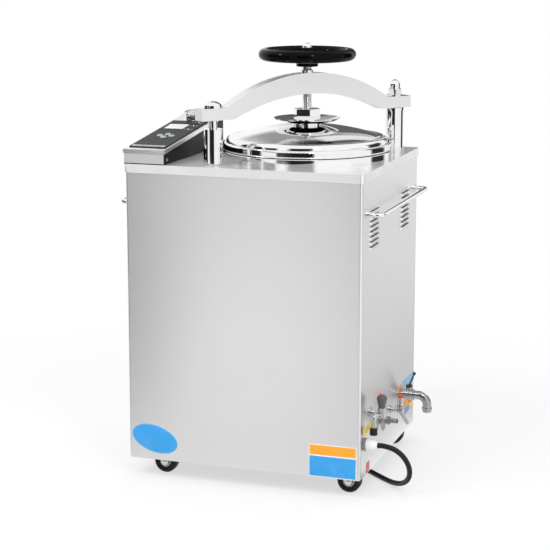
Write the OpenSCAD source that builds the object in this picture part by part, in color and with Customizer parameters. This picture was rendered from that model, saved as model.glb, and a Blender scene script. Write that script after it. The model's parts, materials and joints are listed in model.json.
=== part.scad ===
// Upright steam sterilizer with a hand wheel closure, on casters.
// Millimetres, +Z up, front towards -Y. The origin lies on the floor under the middle of the cabinet.

/* [Cabinet] */
// Width of the cabinet across the side panels
cabinet_w = 510; // [500:2:600]
// Depth of the cabinet across the front and back panels
cabinet_d = 450; // [440:2:520]
// Height from the skirt edge to the top surface
cabinet_h = 632; // [620:2:700]
// Gap between the floor and the skirt edge
floor_gap = 41; // [34:1:46]
// Thickness of the panel sheet
sheet_t = 1.5; // [1:0.1:2]
// Outer bend radius of the vertical corners
corner_r = 5; // [4:0.5:7]
// Length of the front and back panels round each corner
wrap_l = 8; // [7:0.5:14]
// Width of the seams between panels
seam = 0.4; // [0.2:0.1:0.8]
// Thickness of the top plate
top_t = 2; // [1.5:0.1:3]
// Height of the folded rim of the top plate
lip_h = 18; // [12:1:26]
// Distance by which the top plate stands over the panels
lip_over = 3; // [2.5:0.5:5]
// Wall of the frame's angle steel
frame_t = 3; // [2:0.5:4]
// Leg length of the corner posts
frame_leg = 30; // [20:1:40]
// Height of the frame's rings
ring_h = 25; // [16:1:40]
// Thickness of the base pan
pan_t = 2.5; // [2:0.1:4]
// Height of the base pan's folded edge
pan_edge = 18; // [12:1:24]

/* [Louvres] */
// Length of a louvre
louvre_l = 70; // [50:1:80]
// Height of a louvre
louvre_h = 8.5; // [6:0.1:9.5]
// Distance that a louvre stands out
louvre_out = 4; // [3:0.1:5]
// Distance between louvre lips
louvre_pitch = 10.5; // [10:0.1:13]
// Number of louvres in a column
louvre_rows = 8; // [4:1:10]
// Wall of a pressed louvre
louvre_t = 1.2; // [0.8:0.1:1.4]
// Depth of the first louvre lip below the top surface
louvre_top = 84; // [60:1:120]
// Distance of the first column's middle from the cabinet's front
louvre_y1 = 92; // [80:1:120]
// Distance of the second column's middle from the cabinet's back
louvre_y2 = 108; // [95:1:150]

/* [Side handles] */
// Radius of the handle rod
handle_r = 5; // [4:0.25:7]
// Distance between the two handle arms
handle_l = 376; // [300:2:400]
// Distance from the panel to the middle of the rod
handle_out = 29; // [26:1:45]
// Depth of the rod's middle below the top surface
handle_down = 87; // [60:1:140]
// Inside bend radius of the rod
handle_bend = 6; // [4:0.5:12]
// Radius of the weld boss at each arm
handle_boss_r = 8; // [7:0.5:12]
// Thickness of the weld boss
handle_boss_t = 3; // [2:0.5:5]

/* [Chamber] */
// Inner radius of the chamber
chamber_r = 165; // [155:1:166]
// Wall of the chamber
chamber_t = 3; // [2:0.5:4]
// Height of the straight chamber wall's foot above the base pan
chamber_up = 101.7; // [95:0.1:130]
// Inner radius of the dished bottom
dish_r = 300; // [260:5:500]
// Distance of the chamber's middle to the right of the cabinet's middle
chamber_x = 68; // [60:1:70]
// Outer radius of the chamber flange and the lid
flange_r = 179; // [176:0.5:182]
// Height of the chamber flange above the top surface
flange_h = 16; // [12:1:20]
// Width of the seal ring
gasket_w = 6; // [4:0.5:8]
// Height of the seal ring
gasket_h = 4.5; // [3:0.5:6]
// Distance by which the seal ring stands above the flange
gasket_proud = 0.6; // [0.4:0.1:1]
// Thickness of the insulation
insulation_t = 11; // [6:1:11.5]
// Radius of the heater tube
heater_r = 5; // [4:0.5:6]
// Radius of the heater loop
heater_loop_r = 120; // [100:1:130]
// Height of the heater loop above the chamber's lowest point
heater_up = 64; // [58:1:70]
// Thickness of the support grid
grid_t = 2; // [1.5:0.5:4]
// Height of the support grid above the chamber's lowest point
grid_up = 80; // [76:1:110]
// Radius of the holes in the support grid
grid_hole_r = 9; // [6:0.5:10]
// Distance between the holes in the support grid
grid_pitch = 40; // [36:1:44]

/* [Yoke] */
// Angle of the yoke from the front of the cabinet, in degrees
yoke_angle = 52; // [50:1:54]
// Distance from the lid axis to each post
post_reach = 233; // [231:0.5:235]
// Width of the beam
beam_w = 28; // [26:0.5:34]
// Thickness of the beam's flat ends
beam_end_t = 25; // [18:1:30]
// Height of the beam's underside above the top surface, at its ends
beam_z = 92; // [88:1:104]
// Distance from each post to the beam's tip
beam_tip = 34; // [26:1:38]
// Length of each flat end inside the post
beam_flat = 28; // [24:1:40]
// Rise of the arch's top edge over the flat ends
arch_rise = 62; // [56:1:66]
// Rise of the arch's lower edge over the flat ends
arch_under = 43; // [42:1:46]
// Length by which the lower edge's arch starts further in
arch_inset = 16; // [8:1:26]
// Radius of the screw boss on the beam
boss_r = 13; // [12:0.5:14]
// Height of the screw boss on the beam
boss_h = 5; // [3:0.5:6]
// Clearance of the beam's side slot round the latch stud
slot_play = 1.2; // [1:0.1:2]

/* [Posts] */
// Radius of the post sleeves
post_r = 20; // [18:0.5:22]
// Radius of the post studs
stud_r = 9; // [7:0.5:10]
// Height of the latch post's sleeve
latch_sleeve_h = 74; // [60:1:80]
// Chamfer at the foot of the latch post
post_foot = 4; // [2:0.5:6]
// Height of the rings on the pivot post
post_ring_h = 5; // [3:0.5:8]
// Distance by which those rings stand out
post_ring_out = 1.2; // [0.8:0.1:2]
// Width of the lugs that carry the posts
lug_w = 40; // [36:1:44]
// Height of the lugs that carry the posts
lug_h = 32; // [20:1:40]
// Length of the lugs beyond the post's middle
lug_end = 16; // [13:1:17]
// Radius of the dome nut on the latch post
latch_nut_r = 20; // [18:0.5:22]
// Height of the dome nut on the latch post
latch_nut_h = 14; // [12:1:18]
// Radius across the corners of the hexagon nut on the pivot post
pivot_nut_r = 16; // [14:0.5:18]
// Height of that nut's hexagon
pivot_hex_h = 13; // [10:1:16]
// Radius of that nut's dome
pivot_dome_r = 12; // [11.5:0.25:13]
// Straight height of that nut's dome
pivot_dome_h = 8; // [6:1:10]
// Radius of that nut's washer
washer_r = 18; // [17:0.5:22]
// Thickness of that nut's washer
washer_t = 2.5; // [2:0.5:4]

/* [Lid] */
// Gap between the chamber flange and the lid
lid_gap = 1; // [0.9:0.1:1.5]
// Height of the lid's rim
lid_rim_h = 17; // [14:1:20]
// Edge radius of the lid's rim
lid_edge_r = 4; // [2:0.5:6]
// Radial width of the lid's rim
lid_rim_w = 26; // [24:1:30]
// Radius of the round bead between rim and dome
bead_r = 12; // [10:0.5:13]
// Radial distance of the bead's middle from the rim's edge
bead_in = 19; // [18:0.5:21]
// Rise of the dome above its foot
dome_rise = 25; // [20:1:28]
// Thickness of the dome
dome_t = 3; // [2:0.5:4]
// Height of the dome's foot above the rim
dome_foot = 11; // [8:0.5:12]
// Radius of the pad on the dome
pad_r = 30; // [26:1:34]
// Height of the pad above the dome's crown
pad_h = 3; // [2:0.5:5]
// Radius of the drip saucer
saucer_r = 70.5; // [60:0.5:80]
// Height of the drip saucer
saucer_h = 9; // [7:0.5:12]
// Thickness of the drip saucer
saucer_t = 1.5; // [1:0.25:2.5]
// Radius across the corners of the hub nut
hub_r = 29.5; // [27:0.5:32]
// Height of the hub nut's hexagon
hub_h = 22; // [18:1:23]
// Radius of the hub nut's neck
hub_neck_r = 22; // [19:0.5:25]
// Height of the hub nut's neck
hub_neck_h = 6; // [4:0.5:7]

/* [Screw and hand wheel] */
// Radius of the screw
screw_r = 10; // [8:0.5:10.5]
// Radius of the thrust collar in the hub nut
thrust_r = 14; // [12.5:0.5:16]
// Thickness of the thrust collar
thrust_t = 5; // [3:0.5:7]
// Outer radius of the hand wheel
wheel_r = 103; // [90:1:115]
// Radius of the hand wheel's rim
rim_r = 12.5; // [10:0.5:15]
// Height of the rim's middle above the hub's lower face
rim_up = 25; // [20:1:30]
// Radius of the hand wheel's hub
wheel_hub_r = 23; // [18:0.5:28]
// Height of the hand wheel's hub
wheel_hub_h = 30; // [24:1:34]
// Thickness of the hand wheel's web
web_t = 6; // [4:0.5:9]
// Gap between the beam's boss and the hand wheel
wheel_gap = 8; // [5:0.5:12]
// Radius across the corners of the acorn nut
acorn_r = 12.5; // [12:0.5:14]
// Height of the acorn nut's hexagon
acorn_hex_h = 10; // [8:0.5:14]
// Radius of the acorn nut's dome
acorn_dome_r = 9.5; // [9:0.25:10.5]

/* [Control box] */
// Width of the control box
box_w = 90; // [84:1:96]
// Length of the control box
box_l = 345; // [320:1:360]
// Height of the control box at the front
box_front_h = 29; // [24:1:36]
// Height of the control box at the back
box_back_h = 68; // [56:1:76]
// Wall of the control box
box_t = 1.5; // [1:0.1:2.5]
// Height of the recessed foot strip
foot_h = 2; // [1:0.5:3]
// Depth of the recess at the foot strip
foot_in = 1; // [0.5:0.1:1.4]
// Thickness of the cover plate on the slope
cap_t = 2; // [1.5:0.1:3]
// Height of the cover plate's folded edge
cap_edge = 6; // [4:0.5:9]
// Thickness of the side cover
cover_t = 1.5; // [1:0.1:2]
// Margin between the cover plate's edge and the keypad panel
panel_in = 5; // [4:0.5:8]
// Distance of the keypad panel from the front edge
panel_y = 18; // [12:1:24]
// Length of the keypad panel
panel_l = 244; // [232:1:250]
// Thickness of the keypad panel
panel_t = 2; // [1.5:0.1:3]
// Distance of the key group's middle from the front edge
keys_y = 119; // [105:1:130]
// Distance from the key group's middle to each key
keys_reach = 13; // [10:0.5:16]
// Radius of a key
key_r = 5; // [4:0.25:6]
// Height of a key above the panel
key_rise = 1.6; // [1.2:0.1:2.5]
// Travel of a key
key_travel = 1; // [0.6:0.1:1.1]
// Width of the display window
display_w = 42; // [36:1:46]
// Length of the display window
display_l = 40; // [34:1:46]
// Distance of the display's front edge from the front edge
display_y = 182; // [170:1:190]
// Thickness of the display window
display_t = 1.2; // [0.8:0.1:2]
// Distance of the display's middle from the left edge
display_x = 37; // [34:1:40]
// Radius of an indicator light
light_r = 2.5; // [2:0.25:3]
// Distance of the indicator lights from the left edge
light_x = 71; // [69:0.5:76]
// Distance of the gauge's middle from the front edge
gauge_y = 302; // [298:1:306]
// Outer radius of the gauge
gauge_r = 29; // [26:0.5:32]
// Height of the gauge
gauge_h = 14; // [11:0.5:18]
// Width of the gauge's bezel
bezel_w = 4; // [3:0.5:6]
// Thickness of the gauge's glass
glass_t = 1.5; // [1:0.25:2]
// Thickness of the gauge's needle
needle_t = 0.8; // [0.5:0.1:1.2]

/* [Casters] */
// Radius of a caster wheel
tyre_r = 25; // [22:0.5:27]
// Width of a caster wheel
tyre_w = 20; // [16:0.5:22]
// Distance of the wheel's axle behind the swivel axis
trail = 15; // [12:0.5:18]
// Distance of the swivel axes from the side panels
caster_in_x = 50; // [48:1:60]
// Distance of the swivel axes from the front and back panels
caster_in_y = 50; // [48:1:60]
// Radius of the axle
axle_r = 3; // [2.5:0.25:4]
// Radius of the swivel stem
stem_r = 5; // [4:0.5:6]
// Thickness of the fork's plate
fork_t = 2.5; // [2:0.25:3.5]
// Gap between the wheel and the fork
fork_gap = 1; // [0.6:0.1:1.5]
// Radius of the fork's crown
crown_r = 17; // [15:0.5:20]
// Thickness of the fork's crown
crown_t = 4; // [3:0.5:6]
// Gap between the wheel and the fork's crown
crown_gap = 7; // [4:0.5:9]
// Length of the swivel socket
socket_l = 24; // [16:1:30]
// Wall of the swivel socket
socket_t = 6; // [4:0.5:8]

/* [Fittings on the right side] */
// Distance of the cable gland from the cabinet's front
gland_y = 31; // [28:1:40]
// Height of the cable gland above the skirt edge
gland_z = 70; // [60:1:80]
// Radius of the cable gland
gland_r = 12; // [10:0.5:14]
// Length of the cable gland
gland_l = 29; // [24:1:40]
// Thickness of the gland's lock nut
gland_nut_t = 6; // [4:0.5:8]
// Distance of the vent valve from the cabinet's front
vent_y = 75; // [70:1:90]
// Height of the vent valve above the skirt edge
vent_z = 126; // [120:1:140]
// Distance of the vent valve's stem from the panel
vent_out = 25; // [22:1:32]
// Radius of the vent valve's knob
knob_r = 11; // [9:0.5:13]
// Height of the vent valve's knob
knob_h = 28; // [22:1:34]
// Distance of the drain valve from the cabinet's front
drain_y = 165; // [150:1:175]
// Height of the drain valve above the skirt edge
drain_z = 84; // [74:1:90]
// Distance of the safety valve from the cabinet's front
safety_y = 235; // [225:1:250]
// Height of the safety valve above the skirt edge
safety_z = 88; // [80:1:100]
// Distance of the safety valve's axis from the panel
safety_out = 24; // [20:1:30]
// Radius of the safety valve's spring housing
safety_r = 7.5; // [6:0.5:9]
// Height of the safety valve's spring housing
safety_h = 24; // [18:1:30]
// Distance of the water tap from the cabinet's front
tap_y = 330; // [320:1:345]
// Height of the water tap above the skirt edge
tap_z = 97; // [90:1:110]
// Radius of the tap's spout tube
spout_r = 9.5; // [8:0.5:11]
// Inner radius of the tap's spout tube
spout_bore_r = 6.5; // [5:0.5:7]
// Distance from the panel to the start of the spout's bend
spout_out = 40; // [34:1:48]
// Bend radius of the spout's middle line
spout_bend = 20; // [14:1:26]
// Length of the spout's straight end
spout_end = 16; // [12:1:24]
// Length of the tap's lever
lever_l = 30; // [24:1:40]

/* [Mains lead] */
// Diameter of the lead
cord_d = 11; // [9:0.5:11]
// Length of the plug's body
plug_l = 42; // [34:1:50]

/* [Hidden] */
$fn = 96;

// Clearances and overruns
over = 1;
play = 0.3;
fit = 0.05;
stud_hole_play = 0.5;
soft_play = 0.2;

// Heights and half sizes of the cabinet
z_top = floor_gap + cabinet_h;
under_top = z_top - top_t;
half_w = cabinet_w / 2;
half_d = cabinet_d / 2;
in_w = cabinet_w - 2 * sheet_t;
in_d = cabinet_d - 2 * sheet_t;
in_r = corner_r - sheet_t;

// Distance of the handles' middle behind the cabinet's middle
handle_shift = 6;

// Casters and base pan, from the floor upwards
crown_z = 2 * tyre_r + crown_gap;
socket_z = crown_z + crown_t + play;
socket_below = 7;
pan_z = socket_z + socket_below;
caster_x = half_w - caster_in_x;
caster_y = half_d - caster_in_y;
stem_head_r = 8;
stem_head_h = 3;
stem_l = socket_l + 2 * play + stem_head_h;
hub_in = 2.5;
tread_w = 6;
tread_edge = 2.5;
eye_wall = 5;
eye_r = axle_r + eye_wall;
crown_share = 0.8;

// Chamber and lid
outer_r = chamber_r + chamber_t;
dish_z = pan_z + chamber_up;
chamber_wall_h = z_top - dish_z;
dish_h = dish_r - sqrt(dish_r * dish_r - chamber_r * chamber_r);
chamber_low = dish_z - dish_h;
heater_z = chamber_low + heater_up;
heater_leg_angle = 10;
heater_tail = 10;
heater_hole_play = 0.3;
heater_nut_r = 9;
heater_nut_h = 5;
heater_nut_z = chamber_low + dish_r - play - heater_nut_h
    - sqrt(pow(dish_r + chamber_t, 2) - pow(heater_loop_r - heater_nut_r, 2));
drain_stub_r = 11;
drain_stub_l = 20;
flange_edge = 1;
gasket_r = (chamber_r + flange_r) / 2;
grid_z = chamber_low + grid_up;
grid_rim = 8;
grid_play = 1;
grid_foot_r = 4;
grid_foot_in = 20;
grid_foot_reach = chamber_r - grid_foot_in;
lid_z = z_top + flange_h + lid_gap;
dome_lap = 2;
dome_r = flange_r - bead_in - dome_lap;
dome_z = lid_z + lid_rim_h + dome_foot;
crown_top = dome_z + dome_rise;
pad_top = crown_top + pad_h;
hub_z = pad_top + saucer_t;
hub_floor = 2;
hex_chamfer = 2;

// Yoke, screw and hand wheel
beam_seat = z_top + beam_z;
beam_top = beam_seat + beam_end_t;
arch_a = post_reach - beam_flat;
arch_b = arch_a - arch_inset;
thrust_z = hub_z + hub_floor + play;
boss_top = beam_top + arch_rise + boss_h;
wheel_z = boss_top + wheel_gap;
wheel_top = wheel_z + wheel_hub_h;
screw_end_r = 6;
screw_end_l = 14;
nut_seat = beam_top + play;
post_nut_h = 12;
post_nut_r = 15;
latch_rim_share = 0.4;
web_low_share = 0.25;

// Control box
box_in = 1.5;
box_x = -half_w - lip_over + box_in;
box_y = -half_d - lip_over + box_in;
box_rise = box_back_h - box_front_h;
slope = atan(box_rise / box_l);
slope_l = norm([box_l, box_rise]);
cap_wall = 1;
cap_gap = cap_edge * tan(slope) + play;
light_h = 1.2;
light_y = display_y + 2;
light_pitch = 32;
gauge_floor = 3;
gauge_pin_r = 1.5;
gauge_pin_h = 5;
needle_up = 2.5;
needle_w = 2;
needle_tail = 7;
needle_start = 225;
glass_in = 0.5;

// Small screws
screw_head_r = 3.5;
screw_head_h = 2;
slot_w = 1;
cover_screw_in = 14;
cover_screw_up = 8;
earth_y = 45;
earth_z = 10;

// Fittings
rosette_t = 3;
vent_rosette_r = 11;
vent_pipe_r = 5.5;
vent_body_r = 8.5;
vent_body_down = 9;
vent_body_up = 12;
vent_stem_r = 4;
vent_stem_l = 8;
vent_pipe_angle = -112;
vent_pipe_reach = 27;
vent_pipe_bend = 10;
vent_drop = 40;
vent_tip_r = 7.5;
vent_tip_l = 15;
knob_foot_r = 6.5;
knob_crown_share = 0.8;
drain_rosette_r = 10;
drain_body_r = 7;
drain_body_l = 20;
drain_hex_r = 9.5;
drain_hex_l = 8;
drain_nozzle_r = 5;
drain_nozzle_l = 16;
drain_bore_r = 3.5;
drain_bore_l = 12;
lever_hub_r = 4;
lever_hub_l = 5;
lever_pin_r = 1.6;
lever_pin_proud = 1;
lever_pin_l = drain_body_r + play + lever_hub_l + lever_pin_proud;
leaf_l = 22;
leaf_w = 10;
leaf_t = 2.5;
leaf_drop = 10;
drain_lever_x = rosette_t + lever_hub_r + play;
safety_rosette_r = 9;
safety_inlet_r = 5;
safety_hex_r = 9.5;
safety_hex_h = 9;
safety_cap_r = 6;
safety_cap_h = 5;
blow_r = 3.5;
blow_l = 30;
blow_angle = 145;
rod_r = 1.5;
rod_z = 17;
rod_angle = -90;
rod_reach = 13.5;
rod_depth = 4;
ring_r = 8.5;
ring_wire_r = 1.2;
tap_rosette_r = 14;
tap_body_r = 12;
tap_body_l = 22;
tap_body_x = 8;
bonnet_r = 7;
bonnet_h = 5;
tap_hub_r = 7;
tap_hub_h = 5;
tap_pin_r = 2.5;
tap_pin_l = 2.5;
tap_rod_r = 1.8;
tap_lean = 22;
spout_collar_r = 11;
spout_collar_l = 5;
gland_nut_r = 14;
gland_grip_l = 12;
gland_end_r = 8;

// Mains lead: middle line from the gland down to the floor and under the cabinet to the coil
cord_r = cord_d / 2;
cord_sides = 8;
cord_ref = [1, 1, 0];
cord_route = [
    [284, -194, 111], [298, -194, 111], [318, -193, 106], [334, -190, 94], [344, -184, 77],
    [347, -175, 58], [343, -164, 40], [333, -150, 25], [318, -134, 14], [300, -117, 8],
    [280, -99, 6], [258, -80, 6], [236, -60, 6], [214, -39, 6], [192, -16, 6],
    [172, 8, 6], [153, 33, 6], [136, 59, 6], [120, 86, 6], [106, 114, 6],
    [94, 142, 6], [84, 171, 6], [76, 200, 6], [71, 229, 6], [70, 257, 6],
    [70, 283, 6], [70, 304, 6]
];
coil_x = 0;
coil_y = 315;
coil_z = 6;
coil_r = 70;
coil_pitch = 12;
coil_layer = 12;
plug_rest = 0.5;
plug_r = coil_z + coil_layer - plug_rest;
coil_turns = 4;
coil_climb = 0.5;
coil_steps = 24;
coil_sides = 6;
coil_lead_in = 11;
coil_lead_out = 33;
plug_relief_l = 20;
plug_relief_r = 7;
plug_shoulder_r = 10;
pin_r = 2.4;
pin_l = 19;
pin_gap = 19;
pin_tip = 2;

// Rounded rectangle, centred
module round_rect(w, d, r) {
    square([w - 2 * r, d], center = true);
    square([w, d - 2 * r], center = true);
    for (x = [-1, 1], y = [-1, 1])
        translate([x * (w / 2 - r), y * (d / 2 - r)])
            circle(r);
}

// Cross-section of the panels, one sheet thick all the way round
module panel_ring() {
    difference() {
        round_rect(cabinet_w, cabinet_d, corner_r);
        round_rect(in_w, in_d, in_r);
    }
}

// Places children on the chamber's axis
module on_axis(z) {
    translate([chamber_x, 0, z])
        children();
}

// Places children on the yoke: X along the beam towards the pivot
module on_yoke(z) {
    on_axis(z)
        rotate(yoke_angle)
            children();
}

// Places children on the right side panel, +X outwards
module on_right(y, z) {
    translate([half_w, -half_d + y, floor_gap + z])
        children();
}

// Places children on the sloping top of the control box, +Z out of the slope
module on_slope(z) {
    translate([box_x, box_y, z_top + box_front_h])
        rotate([slope, 0, 0])
            translate([0, 0, z])
                children();
}

// Straight round bar along +X
module bar_x(r, l) {
    rotate([0, 90, 0])
        cylinder(r = r, h = l);
}

// Hexagon with chamfered corners
module hexagon(r, h, edge) {
    intersection() {
        cylinder(r = r, h = h, $fn = 6);
        rotate_extrude()
            polygon([[0, 0], [r - edge, 0], [r, edge / 2], [r, h - edge / 2], [r - edge, h], [0, h]]);
    }
}

// Flat-bottomed slice of a sphere
module dome(r, h) {
    ball = (r * r + h * h) / (2 * h);
    intersection() {
        translate([0, 0, h - ball])
            sphere(ball);
        cylinder(r = r + over, h = h + over);
    }
}

// Cabinet

module frame_outline() {
    difference() {
        round_rect(in_w, in_d, in_r);
        square([in_w - 2 * frame_t, in_d - 2 * frame_t], center = true);
    }
}

module frame() {
    color("dimgray") {
        translate([0, 0, pan_z])
            linear_extrude(under_top - pan_z)
                intersection() {
                    frame_outline();
                    for (x = [-1, 1], y = [-1, 1])
                        translate([x * in_w / 2, y * in_d / 2])
                            square(2 * frame_leg, center = true);
                }
        for (z = [pan_z, under_top - ring_h])
            translate([0, 0, z])
                linear_extrude(ring_h)
                    frame_outline();
    }
}

module base_pan() {
    color("gray")
        difference() {
            union() {
                difference() {
                    translate([0, 0, pan_z - pan_edge])
                        linear_extrude(pan_edge)
                            round_rect(in_w, in_d, in_r);
                    translate([0, 0, pan_z - pan_edge - over])
                        linear_extrude(pan_edge - pan_t + over)
                            square([in_w - 2 * pan_t, in_d - 2 * pan_t], center = true);
                }
                for_casters()
                    translate([0, 0, socket_z])
                        cylinder(r = stem_r + socket_t, h = socket_l);
            }
            for_casters()
                translate([0, 0, socket_z - over])
                    cylinder(r = stem_r + fit, h = socket_l + 2 * over);
        }
}

module front_panel() {
    color("lightgray")
        translate([0, 0, floor_gap])
            linear_extrude(cabinet_h - top_t)
                intersection() {
                    panel_ring();
                    translate([-cabinet_w, -half_d - over])
                        square([2 * cabinet_w, wrap_l + over]);
                }
}

module back_panel() {
    color("lightgray")
        translate([0, 0, floor_gap])
            linear_extrude(cabinet_h - top_t)
                intersection() {
                    panel_ring();
                    translate([-cabinet_w, half_d - wrap_l])
                        square([2 * cabinet_w, wrap_l + over]);
                }
}

// Pressed louvre: open at its upper lip, its outline on the panel round at the lower corners
module louvre_form(cut) {
    sag = (louvre_h * louvre_h / louvre_out - louvre_out) / 2;
    r = louvre_out + sag - cut;
    half = louvre_l / 2 - louvre_h;
    intersection() {
        translate([-sag, 0, 0])
            union() {
                translate([0, -half, 0])
                    rotate([-90, 0, 0])
                        cylinder(r = r, h = 2 * half);
                for (y = [-half, half])
                    translate([0, y, 0])
                        sphere(r);
            }
        translate([-sheet_t - over, -louvre_l, -louvre_h])
            cube([sheet_t + over + 2 * louvre_out, 2 * louvre_l, louvre_h]);
    }
}

module each_louvre() {
    for (y = [louvre_y1 - half_d, half_d - louvre_y2], k = [0:louvre_rows - 1])
        translate([half_w, y, z_top - louvre_top - k * louvre_pitch])
            children();
}

module side_sheet() {
    translate([0, 0, floor_gap])
        linear_extrude(cabinet_h - top_t)
            translate([half_w - sheet_t, -half_d + wrap_l + seam])
                square([sheet_t, cabinet_d - 2 * (wrap_l + seam)]);
}

module side_panel() {
    difference() {
        union() {
            side_sheet();
            each_louvre()
                intersection() {
                    louvre_form(0);
                    translate([-sheet_t, -louvre_l, -louvre_h])
                        cube([sheet_t + 2 * louvre_out, 2 * louvre_l, louvre_h]);
                }
        }
        each_louvre()
            louvre_form(louvre_t);
    }
}

module right_panel() {
    color("lightgray")
        side_panel();
}

module left_panel() {
    color("lightgray")
        mirror([1, 0, 0])
            side_panel();
}

module top_plate() {
    color("silver")
        difference() {
            translate([0, 0, z_top - lip_h])
                linear_extrude(lip_h)
                    round_rect(cabinet_w + 2 * lip_over, cabinet_d + 2 * lip_over, corner_r + lip_over);
            translate([0, 0, z_top - lip_h - over])
                linear_extrude(lip_h - top_t + over)
                    round_rect(cabinet_w + 2 * (lip_over - sheet_t), cabinet_d + 2 * (lip_over - sheet_t),
                        corner_r + lip_over - sheet_t);
            on_axis(under_top - over)
                cylinder(r = outer_r + play, h = top_t + 2 * over);
            for (x = [-post_reach, post_reach])
                on_yoke(under_top - over)
                    translate([x, 0, 0])
                        cylinder(r = stud_r + stud_hole_play, h = top_t + 2 * over);
        }
}

// Side handles

module handle() {
    turn = handle_bend + handle_r;
    translate([half_w, handle_shift, z_top - handle_down]) {
        for (s = [-1, 1]) {
            translate([0, s * handle_l / 2, 0]) {
                bar_x(handle_boss_r, handle_boss_t);
                bar_x(handle_r, handle_out - turn);
            }
            translate([handle_out - turn, s * (handle_l / 2 - turn), 0])
                rotate(s < 0 ? -90 : 0)
                    rotate_extrude(angle = 90)
                        translate([turn, 0])
                            circle(handle_r);
        }
        translate([handle_out, -handle_l / 2 + turn, 0])
            rotate([-90, 0, 0])
                cylinder(r = handle_r, h = handle_l - 2 * turn);
    }
}

module right_handle() {
    color("gainsboro")
        handle();
}

module left_handle() {
    color("gainsboro")
        mirror([1, 0, 0])
            handle();
}

// Chamber

module heater_legs(r, z, h) {
    for (s = [-1, 1])
        rotate(s * heater_leg_angle)
            translate([heater_loop_r, 0, z])
                cylinder(r = r, h = h);
}

module chamber() {
    color("silver")
        difference() {
            union() {
                on_axis(dish_z)
                    cylinder(r = outer_r, h = chamber_wall_h);
                on_axis(0)
                    intersection() {
                        translate([0, 0, chamber_low + dish_r])
                            sphere(dish_r + chamber_t);
                        cylinder(r = outer_r, h = dish_z);
                    }
                on_axis(chamber_low - drain_stub_l)
                    cylinder(r = drain_stub_r, h = drain_stub_l + chamber_t);
                for (s = [0, 180])
                    on_yoke(under_top - lug_h)
                        rotate(s)
                            translate([chamber_r, -lug_w / 2, 0])
                                cube([post_reach + lug_end - chamber_r, lug_w, lug_h]);
            }
            on_axis(dish_z)
                cylinder(r = chamber_r, h = chamber_wall_h + over);
            on_axis(0)
                intersection() {
                    translate([0, 0, chamber_low + dish_r])
                        sphere(dish_r);
                    cylinder(r = chamber_r, h = dish_z + over);
                }
            on_axis(chamber_low - drain_stub_l - over)
                cylinder(r = drain_stub_r - chamber_t, h = drain_stub_l + chamber_t + 2 * over);
            on_axis(0)
                heater_legs(heater_r + heater_hole_play, chamber_low - over, dish_h + over);
            for (x = [-post_reach, post_reach])
                on_yoke(under_top - lug_h - over)
                    translate([x, 0, 0])
                        cylinder(r = stud_r + fit, h = lug_h + 2 * over);
        }
}

module chamber_flange() {
    color("silver")
        on_axis(z_top)
            rotate_extrude()
                difference() {
                    polygon([
                        [chamber_r, 0],
                        [flange_r, 0],
                        [flange_r, flange_h - flange_edge],
                        [flange_r - flange_edge, flange_h],
                        [chamber_r + flange_edge, flange_h],
                        [chamber_r, flange_h - flange_edge]
                    ]);
                    translate([gasket_r - gasket_w / 2 - soft_play, flange_h - gasket_h + gasket_proud])
                        square([gasket_w + 2 * soft_play, gasket_h]);
                }
}

module chamber_gasket() {
    color("dimgray")
        on_axis(z_top + flange_h - gasket_h + gasket_proud)
            rotate_extrude()
                translate([gasket_r - gasket_w / 2, 0])
                    square([gasket_w, gasket_h]);
}

module insulation() {
    color("khaki")
        on_axis(dish_z)
            difference() {
                cylinder(r = outer_r + play + insulation_t, h = chamber_wall_h - top_t - lug_h - play);
                translate([0, 0, -over])
                    cylinder(r = outer_r + play, h = chamber_wall_h);
            }
}

module heater() {
    color("dimgray")
        on_axis(0) {
            translate([0, 0, heater_z])
                rotate(heater_leg_angle)
                    rotate_extrude(angle = 360 - 2 * heater_leg_angle)
                        translate([heater_loop_r, 0])
                            circle(heater_r);
            heater_legs(heater_r, chamber_low - heater_tail, heater_z - chamber_low + heater_tail);
            for (s = [-1, 1])
                rotate(s * heater_leg_angle)
                    translate([heater_loop_r, 0, heater_z])
                        sphere(heater_r);
            heater_legs(heater_nut_r, heater_nut_z, heater_nut_h);
        }
}

module support_grid() {
    rows = ceil(chamber_r / grid_pitch);
    row_h = grid_pitch * sin(60);
    color("silver")
        on_axis(0)
            difference() {
                union() {
                    translate([0, 0, grid_z])
                        cylinder(r = chamber_r - grid_play, h = grid_t);
                    for (a = [60:120:300])
                        intersection() {
                            rotate(a)
                                translate([grid_foot_reach, 0, chamber_low])
                                    cylinder(r = grid_foot_r, h = grid_up + grid_t);
                            translate([0, 0, chamber_low + dish_r])
                                sphere(dish_r - soft_play);
                        }
                }
                for (j = [-rows:rows], i = [-rows:rows]) {
                    x = (i + (j % 2 == 0 ? 0 : 1 / 2)) * grid_pitch;
                    y = j * row_h;
                    if (norm([x, y]) + grid_hole_r < chamber_r - grid_rim - 2 * grid_foot_r)
                        translate([x, y, grid_z - over])
                            cylinder(r = grid_hole_r, h = grid_t + 2 * over);
                }
            }
}

// Posts and yoke

module stud(top) {
    low = under_top - lug_h - post_nut_h;
    translate([0, 0, low]) {
        cylinder(r = stud_r, h = top - low);
        hexagon(post_nut_r, post_nut_h, hex_chamfer);
    }
}

module pivot_post() {
    color("silver")
        on_yoke(0)
            translate([post_reach, 0, 0]) {
                stud(nut_seat + washer_t + pivot_hex_h);
                translate([0, 0, z_top])
                    cylinder(r = post_r, h = beam_z - play);
                for (z = [z_top, beam_seat - play - post_ring_h])
                    translate([0, 0, z])
                        cylinder(r = post_r + post_ring_out, h = post_ring_h);
            }
}

module latch_post() {
    color("silver")
        on_yoke(0)
            translate([-post_reach, 0, 0]) {
                stud(nut_seat + latch_nut_h * latch_rim_share);
                translate([0, 0, z_top])
                    cylinder(r1 = post_r - post_foot, r2 = post_r, h = post_foot);
                translate([0, 0, z_top + post_foot])
                    cylinder(r = post_r, h = latch_sleeve_h - post_foot);
            }
}

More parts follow.
